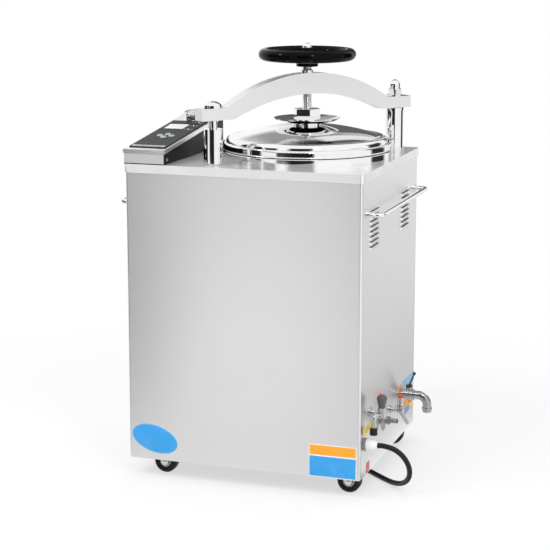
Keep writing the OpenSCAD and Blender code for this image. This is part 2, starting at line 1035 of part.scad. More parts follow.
module post_nuts() {
    color("silver") {
        on_yoke(nut_seat)
            translate([post_reach, 0, 0])
                difference() {
                    union() {
                        cylinder(r = washer_r, h = washer_t);
                        translate([0, 0, washer_t])
                            hexagon(pivot_nut_r, pivot_hex_h, hex_chamfer);
                        translate([0, 0, washer_t + pivot_hex_h])
                            cylinder(r = pivot_dome_r, h = pivot_dome_h);
                        translate([0, 0, washer_t + pivot_hex_h + pivot_dome_h])
                            dome(pivot_dome_r, pivot_dome_r);
                    }
                    translate([0, 0, -over])
                        cylinder(r = stud_r + fit, h = washer_t + pivot_hex_h + 2 * over);
                }
        on_yoke(nut_seat)
            translate([-post_reach, 0, 0])
                difference() {
                    union() {
                        cylinder(r = latch_nut_r, h = latch_nut_h * latch_rim_share);
                        translate([0, 0, latch_nut_h * latch_rim_share])
                            dome(latch_nut_r - hex_chamfer, latch_nut_h * (1 - latch_rim_share));
                    }
                    translate([0, 0, -over])
                        cylinder(r = stud_r + fit, h = latch_nut_h * latch_rim_share + 2 * over);
                }
    }
}

// Side view of the beam: flat ends and an arch between two circles
module beam_side() {
    top_r = (arch_a * arch_a + arch_rise * arch_rise) / (2 * arch_rise);
    low_r = (arch_b * arch_b + arch_under * arch_under) / (2 * arch_under);
    difference() {
        union() {
            for (s = [0, 1])
                mirror([s, 0])
                    translate([arch_a, 0])
                        square([beam_flat + beam_tip, beam_end_t]);
            intersection() {
                translate([0, beam_end_t + arch_rise - top_r])
                    circle(top_r, $fn = 360);
                translate([-arch_a, 0])
                    square([2 * arch_a, beam_end_t + arch_rise + over]);
            }
        }
        translate([0, arch_under - low_r])
            circle(low_r, $fn = 360);
    }
}

module yoke_beam() {
    color("gainsboro")
        on_yoke(0)
            difference() {
                union() {
                    translate([0, beam_w / 2, beam_seat])
                        rotate([90, 0, 0])
                            linear_extrude(beam_w)
                                beam_side();
                    translate([0, 0, boss_top - 2 * boss_h])
                        cylinder(r = boss_r, h = 2 * boss_h);
                }
                translate([0, 0, beam_seat - over])
                    cylinder(r = screw_r + fit, h = boss_top - beam_seat + 2 * over);
                translate([post_reach, 0, beam_seat - over])
                    cylinder(r = stud_r + fit, h = beam_end_t + 2 * over);
                translate([-post_reach, 0, beam_seat - over]) {
                    cylinder(r = stud_r + slot_play, h = beam_end_t + 2 * over);
                    translate([-stud_r - slot_play, 0, 0])
                        cube([2 * (stud_r + slot_play), beam_w, beam_end_t + 2 * over]);
                }
            }
}

// Lid

module rim_profile() {
    inner = flange_r - lid_rim_w;
    translate([inner, 0])
        square([lid_rim_w - lid_edge_r, lid_rim_h]);
    translate([inner, lid_edge_r])
        square([lid_rim_w, lid_rim_h - 2 * lid_edge_r]);
    for (z = [lid_edge_r, lid_rim_h - lid_edge_r])
        translate([flange_r - lid_edge_r, z])
            circle(lid_edge_r);
    translate([flange_r - bead_in, lid_rim_h])
        circle(bead_r);
}

module lid() {
    ball = (dome_r * dome_r + dome_rise * dome_rise) / (2 * dome_rise);
    color("silver")
        on_axis(lid_z) {
            rotate_extrude()
                rim_profile();
            difference() {
                intersection() {
                    translate([0, 0, crown_top - lid_z - ball])
                        sphere(ball, $fn = 360);
                    cylinder(r = dome_r, h = crown_top - lid_z + over);
                }
                translate([0, 0, crown_top - lid_z - ball])
                    sphere(ball - dome_t, $fn = 360);
                translate([0, 0, -over])
                    cylinder(r = flange_r, h = lid_rim_h + over);
            }
            translate([0, 0, crown_top - lid_z - dome_t])
                cylinder(r = pad_r, h = dome_t + pad_h);
        }
}

module lid_saucer() {
    flat = pad_r;
    span = saucer_r - flat;
    bowl = (span * span + saucer_h * saucer_h) / (2 * saucer_h);
    color("silver")
        on_axis(pad_top)
            rotate_extrude() {
                square([flat, saucer_t]);
                intersection() {
                    difference() {
                        translate([flat, bowl])
                            circle(bowl, $fn = 360);
                        translate([flat, bowl])
                            circle(bowl - saucer_t, $fn = 360);
                    }
                    translate([flat, 0])
                        square([span, saucer_h + saucer_t]);
                }
            }
}

module hub_nut() {
    color("silver")
        on_axis(hub_z)
            difference() {
                union() {
                    cylinder(r = hub_neck_r, h = hub_neck_h);
                    translate([0, 0, hub_neck_h])
                        hexagon(hub_r, hub_h, hex_chamfer);
                }
                translate([0, 0, hub_floor])
                    cylinder(r = thrust_r + play, h = thrust_t + 2 * play);
                translate([0, 0, hub_floor + thrust_t])
                    cylinder(r = screw_r + fit, h = hub_neck_h + hub_h);
            }
}

// Screw and hand wheel

module lid_screw() {
    color("silver")
        on_axis(0) {
            translate([0, 0, thrust_z])
                cylinder(r = thrust_r, h = thrust_t);
            translate([0, 0, thrust_z])
                cylinder(r = screw_r, h = wheel_top - thrust_z);
            translate([0, 0, wheel_top])
                cylinder(r = screw_end_r, h = screw_end_l);
        }
}

module hand_wheel() {
    ring = wheel_r - rim_r;
    color("black")
        on_axis(wheel_z)
            difference() {
                rotate_extrude() {
                    square([wheel_hub_r, wheel_hub_h]);
                    polygon([
                        [wheel_hub_r - web_t / 2, wheel_hub_h * web_low_share],
                        [ring, rim_up - web_t / 2],
                        [ring, rim_up + web_t / 2],
                        [wheel_hub_r - web_t / 2, wheel_hub_h * web_low_share + web_t]
                    ]);
                    translate([ring, rim_up])
                        circle(rim_r);
                }
                translate([0, 0, -over])
                    cylinder(r = screw_r + fit, h = wheel_hub_h + 2 * over);
            }
}

module wheel_nut() {
    color("silver")
        on_axis(wheel_top)
            difference() {
                union() {
                    hexagon(acorn_r, acorn_hex_h, hex_chamfer);
                    translate([0, 0, acorn_hex_h])
                        dome(acorn_dome_r, acorn_dome_r);
                }
                translate([0, 0, -over])
                    cylinder(r = screw_end_r + fit, h = screw_end_l + over + play);
            }
}

// Control box

// Side view of the box from a height up to its slope; y is the distance from the front
module box_side(low, inset) {
    polygon([
        [inset, low],
        [box_l - inset, low],
        [box_l - inset, box_back_h - inset * tan(slope) - inset / cos(slope)],
        [inset, box_front_h + inset * tan(slope) - inset / cos(slope)]
    ]);
}

// Extrudes a side view of the box along +X
module along_box(x, w) {
    translate([box_x + x, box_y, z_top])
        rotate([90, 0, 90])
            linear_extrude(w)
                children();
}

module control_housing() {
    color("silver")
        difference() {
            union() {
                along_box(0, box_w - cover_t)
                    box_side(foot_h, 0);
                along_box(foot_in, box_w - cover_t - 2 * foot_in)
                    translate([foot_in, 0])
                        square([box_l - 2 * foot_in, foot_h]);
            }
            along_box(box_t + foot_in, box_w - cover_t - 2 * (box_t + foot_in))
                box_side(-over, box_t + foot_in);
        }
}

module control_side_cover() {
    color("black")
        along_box(box_w - cover_t, cover_t)
            box_side(foot_h, 0);
}

module control_cap() {
    reach = cap_gap + cap_wall;
    wide = play + cap_wall;
    color("gainsboro")
        on_slope(0)
            difference() {
                translate([-wide, -reach, -cap_edge])
                    cube([box_w + 2 * wide, slope_l + 2 * reach, cap_edge + cap_t]);
                translate([-play, -cap_gap, -cap_edge - over])
                    cube([box_w + 2 * play, slope_l + 2 * cap_gap, cap_edge + over]);
            }
}

// Middles of the four keys round the key group's middle
function key_place(k) = [box_w / 2 + keys_reach * cos(90 * k), keys_y + keys_reach * sin(90 * k), 0];

module control_panel() {
    color("darkslategray")
        on_slope(cap_t)
            difference() {
                translate([panel_in, panel_y, 0])
                    cube([box_w - 2 * panel_in, panel_l, panel_t]);
                for (k = [0:3])
                    translate(key_place(k) - [0, 0, over])
                        cylinder(r = key_r + soft_play, h = panel_t + 2 * over);
            }
}

module key(k) {
    low = key_travel + play;
    color("whitesmoke")
        on_slope(cap_t + low)
            translate(key_place(k))
                cylinder(r = key_r, h = panel_t - low + key_rise);
}

module display_window() {
    color("white")
        on_slope(cap_t + panel_t)
            translate([display_x - display_w / 2, display_y, 0])
                cube([display_w, display_l, display_t]);
}

module indicator_lights() {
    color("orange")
        on_slope(cap_t + panel_t)
            for (k = [0:2])
                translate([light_x, light_y + k * light_pitch, 0])
                    dome(light_r, light_h);
}

module gauge_case() {
    color("silver")
        on_slope(cap_t)
            translate([box_w / 2, gauge_y, 0]) {
                difference() {
                    cylinder(r = gauge_r, h = gauge_h);
                    translate([0, 0, gauge_floor])
                        cylinder(r = gauge_r - bezel_w, h = gauge_h);
                }
                translate([0, 0, gauge_floor])
                    cylinder(r = gauge_pin_r, h = gauge_pin_h);
            }
}

module gauge_needle() {
    color("red")
        on_slope(cap_t + gauge_floor + needle_up)
            translate([box_w / 2, gauge_y, 0])
                rotate(needle_start)
                    difference() {
                        union() {
                            cylinder(r = 2 * gauge_pin_r, h = needle_t);
                            linear_extrude(needle_t)
                                polygon([
                                    [-needle_tail, -needle_w],
                                    [gauge_r - 2 * bezel_w, -needle_t / 2],
                                    [gauge_r - 2 * bezel_w, needle_t / 2],
                                    [-needle_tail, needle_w]
                                ]);
                        }
                        translate([0, 0, -over])
                            cylinder(r = gauge_pin_r + fit, h = needle_t + 2 * over);
                    }
}

module gauge_glass() {
    color("lightcyan")
        on_slope(cap_t + gauge_h - glass_in - glass_t)
            translate([box_w / 2, gauge_y, 0])
                cylinder(r = gauge_r - bezel_w - fit, h = glass_t);
}

module pan_screw() {
    difference() {
        union() {
            cylinder(r = screw_head_r, h = screw_head_h / 2);
            translate([0, 0, screw_head_h / 2])
                dome(screw_head_r, screw_head_h / 2);
        }
        translate([-screw_head_r - over, -slot_w / 2, screw_head_h / 2])
            cube([2 * (screw_head_r + over), slot_w, screw_head_h]);
    }
}

module cover_screws() {
    color("silver") {
        for (y = [cover_screw_in, box_l - cover_screw_in])
            translate([box_x + box_w, box_y + y, z_top + foot_h + cover_screw_up])
                rotate([0, 90, 0])
                    pan_screw();
        on_right(earth_y, earth_z)
            rotate([0, 90, 0])
                pan_screw();
    }
}

// Fittings

module gland_nut() {
    color("gray")
        on_right(gland_y, gland_z)
            rotate([0, 90, 0])
                hexagon(gland_nut_r, gland_nut_t, hex_chamfer);
}

module cable_gland() {
    cone_l = gland_l - gland_nut_t - gland_grip_l;
    color("white")
        on_right(gland_y, gland_z)
            rotate([0, 90, 0])
                translate([0, 0, gland_nut_t]) {
                    cylinder(r = gland_r, h = gland_grip_l);
                    translate([0, 0, gland_grip_l])
                        cylinder(r1 = gland_r, r2 = gland_end_r, h = cone_l);
                }
}

// Tube that runs out along +X, then turns down
module down_pipe(r, out, turn, drop) {
    bar_x(r, out - turn);
    translate([out - turn, 0, -turn])
        rotate([90, 0, 0])
            rotate_extrude(angle = 90)
                translate([turn, 0])
                    circle(r);
    translate([out, 0, -drop])
        cylinder(r = r, h = drop - turn);
}

module vent_valve() {
    color("silver")
        on_right(vent_y, vent_z) {
            bar_x(vent_rosette_r, rosette_t);
            bar_x(vent_pipe_r, vent_out);
            translate([vent_out, 0, -vent_body_down])
                cylinder(r = vent_body_r, h = vent_body_down + vent_body_up);
            translate([vent_out, 0, vent_body_up])
                cylinder(r = vent_stem_r, h = vent_stem_l);
            translate([vent_out, 0, 0])
                rotate(vent_pipe_angle) {
                    down_pipe(vent_pipe_r, vent_pipe_reach, vent_pipe_bend, vent_drop);
                    translate([vent_pipe_reach, 0, -vent_drop])
                        cylinder(r = vent_tip_r, h = vent_tip_l);
                }
        }
}

module vent_knob() {
    crown = knob_r * knob_crown_share;
    color("gray")
        on_right(vent_y, vent_z)
            translate([vent_out, 0, vent_body_up + play])
                difference() {
                    union() {
                        cylinder(r1 = knob_foot_r, r2 = knob_r, h = knob_h - crown);
                        translate([0, 0, knob_h - crown])
                            dome(knob_r, crown);
                    }
                    translate([0, 0, -over])
                        cylinder(r = vent_stem_r + fit, h = vent_stem_l + over);
                }
}

module drain_valve() {
    color("dimgray")
        on_right(drain_y, drain_z)
            difference() {
                union() {
                    bar_x(drain_rosette_r, rosette_t);
                    bar_x(drain_body_r, drain_body_l);
                    translate([drain_body_l - drain_hex_l, 0, 0])
                        rotate([0, 90, 0])
                            hexagon(drain_hex_r, drain_hex_l, hex_chamfer);
                    bar_x(drain_nozzle_r, drain_body_l + drain_nozzle_l);
                    translate([drain_lever_x, 0, 0])
                        rotate([90, 0, 0])
                            cylinder(r = lever_pin_r, h = lever_pin_l);
                }
                translate([drain_body_l + drain_nozzle_l - drain_bore_l, 0, 0])
                    bar_x(drain_bore_r, drain_bore_l + over);
            }
}

module drain_lever() {
    arc = (leaf_l * leaf_l + leaf_w * leaf_w) / (4 * leaf_w);
    color("silver")
        on_right(drain_y, drain_z)
            translate([drain_lever_x, -drain_body_r - play, 0])
                rotate([90, 0, 0])
                    difference() {
                        union() {
                            cylinder(r = lever_hub_r, h = lever_hub_l);
                            translate([0, -leaf_drop, lever_hub_l - leaf_t])
                                linear_extrude(leaf_t)
                                    intersection() {
                                        translate([arc - leaf_w / 2, 0])
                                            circle(arc);
                                        translate([leaf_w / 2 - arc, 0])
                                            circle(arc);
                                    }
                        }
                        translate([0, 0, -over])
                            cylinder(r = lever_pin_r + fit, h = lever_hub_l + 2 * over);
                    }
}

module safety_valve() {
    color("silver")
        on_right(safety_y, safety_z)
            difference() {
                union() {
                    bar_x(safety_rosette_r, rosette_t);
                    bar_x(safety_inlet_r, safety_out);
                    translate([safety_out, 0, -safety_hex_h / 2]) {
                        hexagon(safety_hex_r, safety_hex_h, hex_chamfer);
                        rotate([0, blow_angle, 0])
                            cylinder(r = blow_r, h = blow_l);
                    }
                    translate([safety_out, 0, safety_hex_h / 2]) {
                        cylinder(r = safety_r, h = safety_h);
                        translate([0, 0, safety_h])
                            cylinder(r = safety_cap_r, h = safety_cap_h);
                    }
                }
                translate([safety_out, 0, rod_z])
                    rotate(rod_angle)
                        translate([safety_r - rod_depth, 0, 0])
                            bar_x(rod_r + fit, rod_depth + over);
            }
}

module safety_ring() {
    color("silver")
        on_right(safety_y, safety_z)
            translate([safety_out, 0, rod_z])
                rotate(rod_angle) {
                    translate([safety_r - rod_depth + play, 0, 0])
                        bar_x(rod_r, rod_reach - safety_r + rod_depth - play);
                    translate([rod_reach, 0, -ring_r])
                        rotate(-rod_angle)
                            rotate([90, 0, 0])
                                rotate_extrude()
                                    translate([ring_r, 0])
                                        circle(ring_wire_r);
                }
}

module tap_spout() {
    reach = spout_out + spout_bend;
    drop = spout_bend + spout_end;
    color("silver")
        on_right(tap_y, tap_z)
            difference() {
                union() {
                    bar_x(tap_rosette_r, rosette_t);
                    down_pipe(spout_r, reach, spout_bend, drop);
                    translate([tap_body_x, 0, 0])
                        bar_x(tap_body_r, tap_body_l);
                    translate([tap_body_x + tap_body_l / 2, 0, 0]) {
                        cylinder(r = bonnet_r, h = tap_body_r + bonnet_h);
                        cylinder(r = tap_pin_r, h = tap_body_r + bonnet_h + tap_pin_l);
                    }
                    translate([reach, 0, -drop + spout_collar_l])
                        cylinder(r = spout_collar_r, h = spout_collar_l);
                }
                translate([spout_out, 0, -spout_bend])
                    rotate([90, 0, 0])
                        rotate_extrude(angle = 90)
                            translate([spout_bend, 0])
                                circle(spout_bore_r);
                translate([reach, 0, -drop - over])
                    cylinder(r = spout_bore_r, h = spout_end + over);
            }
}

module tap_lever() {
    color("black")
        on_right(tap_y, tap_z)
            translate([tap_body_x + tap_body_l / 2, 0, tap_body_r + bonnet_h + play]) {
                difference() {
                    cylinder(r = tap_hub_r, h = tap_hub_h);
                    translate([0, 0, -over])
                        cylinder(r = tap_pin_r + fit, h = tap_pin_l + over);
                }
                translate([0, 0, tap_hub_h - tap_rod_r])
                    rotate([0, tap_lean, 0]) {
                        cylinder(r = tap_rod_r, h = lever_l);
                        translate([0, 0, lever_l])
                            sphere(2 * tap_rod_r);
                    }
            }
}

// Casters

module for_casters() {
    for (x = [-caster_x, caster_x], y = [-caster_y, caster_y])
        translate([x, y, 0])
            children();
}

module caster_fork() {
    leg_y = tyre_w / 2 + fork_gap;
    color("silver") {
        translate([0, 0, crown_z])
            cylinder(r = crown_r, h = crown_t);
        translate([0, 0, crown_z])
            cylinder(r = stem_r, h = crown_t + stem_l);
        translate([0, 0, crown_z + crown_t + socket_l + 2 * play])
            cylinder(r = stem_head_r, h = stem_head_h);
        for (y = [-leg_y - fork_t, leg_y])
            translate([0, y + fork_t, 0])
                rotate([90, 0, 0])
                    linear_extrude(fork_t) {
                        polygon([
                            [-crown_r * crown_share, crown_z + crown_t],
                            [crown_r * crown_share, crown_z + crown_t],
                            [trail + eye_r, tyre_r],
                            [trail - eye_r, tyre_r]
                        ]);
                        translate([trail, tyre_r])
                            circle(eye_r);
                    }
        translate([trail, leg_y + fork_t, tyre_r])
            rotate([90, 0, 0])
                cylinder(r = axle_r, h = 2 * (leg_y + fork_t));
    }
}

module caster_wheel() {
    color("black")
        translate([trail, tyre_w / 2, tyre_r])
            rotate([90, 0, 0])
                rotate_extrude()
                    difference() {
                        polygon([
                            [axle_r + fit, 0],
                            [tyre_r - tread_edge, 0],
                            [tyre_r, tread_edge],
                            [tyre_r, tyre_w - tread_edge],
                            [tyre_r - tread_edge, tyre_w],
                            [axle_r + fit, tyre_w]
                        ]);
                        for (z = [-over, tyre_w - hub_in])
                            translate([eye_r, z])
                                square([tyre_r - tread_w - eye_r, hub_in + over]);
                    }
}

// Mains lead

function unit(v) = v / norm(v);
function along(path, i) = unit(path[min(i + 1, len(path) - 1)] - path[max(i - 1, 0)]);
function side_of(t) = unit(cross(t, cord_ref));
function ring_points(c, t, r, n) =
    [for (k = [0:n - 1]) c + r * (cos(360 * k / n) * side_of(t) + sin(360 * k / n) * cross(t, side_of(t)))];

// One closed tube along a path
module tube(path, r, n) {
    rings = len(path);
    points = [for (i = [0:rings - 1]) each ring_points(path[i], along(path, i), r, n)];
    sides = [for (i = [0:rings - 2], k = [0:n - 1])
        let (m = (k + 1) % n)
            each [
                [i * n + k, (i + 1) * n + k, i * n + m],
                [i * n + m, (i + 1) * n + k, (i + 1) * n + m]
            ]];
    start = [for (k = [0:n - 1]) k];
    end = [for (k = [n - 1:-1:0]) (rings - 1) * n + k];
    polyhedron(points = points, faces = concat([start], sides, [end]));
}

// Smooth step from 0 to 1
function ease(x) = x <= 0 ? 0 : x >= 1 ? 1 : x * x * (3 - 2 * x);

// Middle line of the coil: in along the floor, up a layer in half a turn, and out again
function coil_point(a) =
    let (
        turn = a / 360,
        half = coil_turns / 2,
        r = coil_r - coil_pitch * (half - abs(turn - half)),
        z = coil_z + coil_layer * ease((turn - half) / coil_climb + 1 / 2)
    )
    [coil_x + r * cos(a), coil_y + r * sin(a), z];

coil_path = concat(
    [[coil_x + coil_r, coil_y - coil_lead_in, coil_z]],
    [for (k = [0:coil_turns * coil_steps]) coil_point(k * 360 / coil_steps)],
    [[coil_x + coil_r, coil_y + coil_lead_out, coil_z + coil_layer]]
);

// Least gap between turns of the coil, measured between points more than half a turn apart
coil_gap = min([for (i = [0:len(coil_path) - 1], j = [0:len(coil_path) - 1])
    if (j - i > coil_steps / 2) norm(coil_path[j] - coil_path[i]) - cord_d]);

function path_length(path) = path_length_from(path, 0);
function path_length_from(path, i) =
    i >= len(path) - 1 ? 0 : norm(path[i + 1] - path[i]) + path_length_from(path, i + 1);

module power_cord() {
    color("black")
        tube(cord_route, cord_r, cord_sides);
}

module cord_coil() {
    echo(coil_gap = coil_gap, lead_length = path_length(cord_route) + path_length(coil_path));
    color("black")
        tube(coil_path, cord_r, coil_sides);
}

module plug() {
    color("black")
        translate([coil_x + coil_r, coil_y + coil_lead_out, coil_z + coil_layer])
            rotate([-90, 0, 0]) {
                cylinder(r1 = plug_relief_r, r2 = plug_shoulder_r, h = plug_relief_l);
                translate([0, 0, plug_relief_l])
                    cylinder(r = plug_r, h = plug_l);
                for (x = [-pin_gap / 2, pin_gap / 2])
                    translate([x, 0, plug_relief_l + plug_l]) {
                        cylinder(r = pin_r, h = pin_l - pin_tip);
                        translate([0, 0, pin_l - pin_tip])
                            cylinder(r1 = pin_r, r2 = pin_r / 2, h = pin_tip);
                    }
            }
}

// The four corners' casters
module at_front_left() {
    translate([-caster_x, -caster_y, 0])
        children();
}

module at_front_right() {
    translate([caster_x, -caster_y, 0])
        children();
}

module at_back_left() {
    translate([-caster_x, caster_y, 0])
        children();
}

module at_back_right() {
    translate([caster_x, caster_y, 0])
        children();
}

frame();
base_pan();
front_panel();
left_panel();
right_panel();
back_panel();
top_plate();
left_handle();
right_handle();
chamber();
chamber_flange();
chamber_gasket();
insulation();
heater();
support_grid();
pivot_post();
latch_post();
post_nuts();
yoke_beam();
lid();
lid_saucer();
hub_nut();
lid_screw();
hand_wheel();
wheel_nut();
control_housing();
control_side_cover();
control_cap();
control_panel();
display_window();
key(1);  // key_up
key(3);  // key_down
key(2);  // key_set
key(0);  // key_start
indicator_lights();
gauge_case();
gauge_needle();
gauge_glass();
cover_screws();
cable_gland();
gland_nut();
power_cord();
cord_coil();
plug();
vent_valve();
vent_knob();
safety_valve();
safety_ring();
drain_valve();
drain_lever();
tap_spout();
tap_lever();
at_front_left() caster_fork();  // caster_fork_fl
at_front_right() caster_fork();  // caster_fork_fr
at_back_left() caster_fork();  // caster_fork_bl
at_back_right() caster_fork();  // caster_fork_br
at_front_left() caster_wheel();  // caster_wheel_fl
at_front_right() caster_wheel();  // caster_wheel_fr
at_back_left() caster_wheel();  // caster_wheel_bl
at_back_right() caster_wheel();  // caster_wheel_br
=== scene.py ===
import json
import math

import bmesh
import bpy
from mathutils import Matrix, Vector

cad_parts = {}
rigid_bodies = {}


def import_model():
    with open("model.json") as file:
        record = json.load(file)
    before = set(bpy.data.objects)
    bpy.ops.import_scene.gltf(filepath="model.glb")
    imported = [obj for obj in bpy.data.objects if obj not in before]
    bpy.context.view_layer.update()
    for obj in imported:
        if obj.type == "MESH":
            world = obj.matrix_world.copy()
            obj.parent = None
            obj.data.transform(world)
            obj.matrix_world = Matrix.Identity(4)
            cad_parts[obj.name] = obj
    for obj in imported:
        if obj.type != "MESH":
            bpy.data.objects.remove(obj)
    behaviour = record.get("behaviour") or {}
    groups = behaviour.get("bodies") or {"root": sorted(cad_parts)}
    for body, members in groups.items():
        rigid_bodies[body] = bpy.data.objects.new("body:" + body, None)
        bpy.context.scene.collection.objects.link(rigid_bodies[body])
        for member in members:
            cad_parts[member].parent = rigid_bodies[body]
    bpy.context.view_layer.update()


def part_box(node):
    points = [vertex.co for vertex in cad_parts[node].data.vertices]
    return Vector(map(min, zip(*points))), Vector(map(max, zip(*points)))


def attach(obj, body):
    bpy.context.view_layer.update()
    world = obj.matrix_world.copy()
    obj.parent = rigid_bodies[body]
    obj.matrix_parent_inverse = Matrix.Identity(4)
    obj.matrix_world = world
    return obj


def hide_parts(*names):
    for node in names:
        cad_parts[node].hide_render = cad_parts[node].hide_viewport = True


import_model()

MM = 0.001

# Camera, in metres and degrees

CAMERA_AT = (1.125, -3.327, 1.141)
CAMERA_PITCH = 10.80
CAMERA_TURN = 18.74
CAMERA_LENS = 107.9
CAMERA_SENSOR = 36
CAMERA_SHIFT = -0.05
CAMERA_REACH = 60


def make_camera():
    cam = bpy.data.objects.new("camera", bpy.data.cameras.new("camera"))
    bpy.context.scene.collection.objects.link(cam)
    cam.location = CAMERA_AT
    cam.rotation_euler = (math.radians(90 - CAMERA_PITCH), 0, math.radians(CAMERA_TURN))
    cam.data.lens = CAMERA_LENS
    cam.data.sensor_width = CAMERA_SENSOR
    cam.data.shift_y = CAMERA_SHIFT
    cam.data.clip_end = CAMERA_REACH
    cam.data.dof.use_dof = False
    bpy.context.scene.camera = cam


make_camera()


# Mesh helpers: sizes are in millimetres, frames are matrices in metres

SMOOTH_ANGLE = 35
ROUND_STEPS = 48
CORNER_STEPS = 5
EDGE_STEPS = 3
MITRE_LIMIT = 0.2
NEARLY_PARALLEL = 0.999
TINY = 1e-6


def link_mesh(name, bm, mat, body, smooth=SMOOTH_ANGLE):
    """Turns a finished bmesh into a piece on a body; edges sharper than smooth degrees stay sharp."""
    bmesh.ops.recalc_face_normals(bm, faces=bm.faces)
    me = bpy.data.meshes.new(name)
    bm.to_mesh(me)
    bm.free()
    for p in me.polygons:
        p.use_smooth = True
    me.set_sharp_from_angle(angle=math.radians(smooth))
    obj = bpy.data.objects.new(name, me)
    bpy.context.scene.collection.objects.link(obj)
    me.materials.append(mat)
    if body:
        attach(obj, body)
    return obj


def axes(origin, z, x=(1, 0, 0)):
    """Frame with its origin in millimetres, its Z along z and its X as near x as it can be."""
    z = Vector(z).normalized()
    x = Vector(x)
    if abs(x.normalized().dot(z)) > NEARLY_PARALLEL:
        x = Vector((0, 1, 0))
    x = (x - z * x.dot(z)).normalized()
    m = Matrix((x, z.cross(x), z)).transposed().to_4x4()
    m.translation = Vector(origin) * MM
    return m


def shifted(at, x=0.0, y=0.0, z=0.0):
    return at @ Matrix.Translation(Vector((x, y, z)) * MM)


def add_point(bm, at, x, y, z):
    return bm.verts.new(at @ (Vector((x, y, z)) * MM))


def add_ring(bm, at, r, z, steps):
    """Points round the frame's Z; a radius of 0 gives the one point on it."""
    turn = 2 * math.pi / steps
    count = steps if r > TINY else 1
    return [add_point(bm, at, r * math.cos(turn * k), r * math.sin(turn * k), z) for k in range(count)]


def bridge(bm, a, b):
    """Band of faces between two rings, or between a ring and one point."""
    steps = max(len(a), len(b))
    for k in range(steps):
        n = (k + 1) % steps
        if len(a) == 1:
            bm.faces.new((a[0], b[k], b[n]))
        elif len(b) == 1:
            bm.faces.new((a[k], a[n], b[0]))
        else:
            bm.faces.new((a[k], a[n], b[n], b[k]))


def add_solid(bm, rings):
    """Solid through a run of rings, closed at each end by a flat face or a single point."""
    for a, b in zip(rings, rings[1:]):
        bridge(bm, a, b)
    for end in (rings[0][::-1], rings[-1]):
        if len(end) > 1:
            bm.faces.new(end)


def add_revolve(bm, profile, at, steps=ROUND_STEPS):
    """Closed turned solid from (radius, height) points, from pole to pole or round in a ring."""
    rings = [add_ring(bm, at, r, z, steps) for r, z in profile]
    if len(rings[0]) > 1:
        rings.append(rings[0])
    for a, b in zip(rings, rings[1:]):
        bridge(bm, a, b)


def turned(name, profile, at, mat, body, steps=ROUND_STEPS, smooth=SMOOTH_ANGLE):
    """Piece turned from one profile."""
    bm = bmesh.new()
    add_revolve(bm, profile, at, steps)
    return link_mesh(name, bm, mat, body, smooth)


def inset_outline(outline, d):
    """Convex outline moved inwards by d."""
    centre = sum((Vector(p) for p in outline), Vector((0, 0))) / len(outline)
    out = []
    for k, here in enumerate(outline):
        p = Vector(here)
        a = p - Vector(outline[k - 1])
        b = Vector(outline[(k + 1) % len(outline)]) - p
        na = Vector((-a.y, a.x)).normalized()
        nb = Vector((-b.y, b.x)).normalized()
        if na.dot(centre - p) < 0:
            na, nb = -na, -nb
        m = na + nb
        out.append(p + m / max(m.length_squared / 2, MITRE_LIMIT) * d)
    return out


def add_prism(bm, outline, at, h, edge=0.0):
    """Solid over a convex outline of (x, y) points, its top edge rounded off by edge."""
    levels = [(0.0, 0.0), (0.0, h - edge)]
    if edge > 0:
        for k in range(1, EDGE_STEPS + 1):
            a = math.pi / 2 * k / EDGE_STEPS
            levels.append((edge * (1 - math.cos(a)), h - edge + edge * math.sin(a)))
    rings = []
    for d, z in levels:
        rings.append([add_point(bm, at, p[0], p[1], z) for p in inset_outline(outline, d)])
    add_solid(bm, rings)


def rounded(left, foot, right, head, r):
    """Outline of a rectangle with rounded corners."""
    centres = ((right - r, head - r), (left + r, head - r), (left + r, foot + r), (right - r, foot + r))
    pts = []
    for quarter, (cx, cy) in enumerate(centres):
        for k in range(CORNER_STEPS + 1):
            a = math.radians(90 * quarter + 90 * k / CORNER_STEPS)
            pts.append((cx + r * math.cos(a), cy + r * math.sin(a)))
    return pts


def centred(width, height, r):
    """Outline of a rounded rectangle about the origin."""
    return rounded(-width / 2, -height / 2, width / 2, height / 2, r)


def oval(rx, ry, turn=0.0):
    """Outline of an ellipse about the origin, turned by some degrees."""
    c, s = math.cos(math.radians(turn)), math.sin(math.radians(turn))
    out = []
    for k in range(ROUND_STEPS):
        a = 2 * math.pi * k / ROUND_STEPS
        x, y = rx * math.cos(a), ry * math.sin(a)
        out.append((x * c - y * s, x * s + y * c))
    return out


def hexagon(r, turn):
    angles = [math.radians(60 * k + turn) for k in range(6)]
    return [(r * math.cos(a), r * math.sin(a)) for a in angles]


# Places on the object, in millimetres

def corners(node):
    lo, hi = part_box(node)
    return lo / MM, hi / MM


def middle(node):
    lo, hi = corners(node)
    return (lo + hi) / 2


PANEL_LOW, PANEL_HIGH = corners("front_panel")
Z_TOP = corners("top_plate")[1].z
HALF_W = PANEL_HIGH.x
HALF_D = -PANEL_LOW.y
AXIS = middle("lid").xy
HOUSE_LOW, HOUSE_HIGH = corners("control_housing")
HOUSE_FRONT_H = 29.0
SLOPE = math.atan2(HOUSE_HIGH.z - Z_TOP - HOUSE_FRONT_H, HOUSE_HIGH.y - HOUSE_LOW.y)
CAP_T = 2.0
CAP_EDGE = 6.0
PANEL_T = 2.0


def upright(x, y, z):
    return axes((x, y, z), (0, 0, 1))


def on_slope(u=0.0, v=0.0, w=0.0):
    """Frame on the control box's sloping top: u across, v up the slope, w out of it."""
    at = Matrix.Translation(Vector((HOUSE_LOW.x, HOUSE_LOW.y, Z_TOP + HOUSE_FRONT_H)) * MM)
    return shifted(at @ Matrix.Rotation(SLOPE, 4, "X"), u, v, w)


def slope_place(node):
    """Middle of a node of the control box as (u, v, w)."""
    return (on_slope().inverted() @ (middle(node) * MM)) / MM


def on_front(x, z):
    """Frame on the front panel: X to the right, Y up, Z out of the panel."""
    return axes((x, -HALF_D, z), (0, -1, 0), (1, 0, 0))


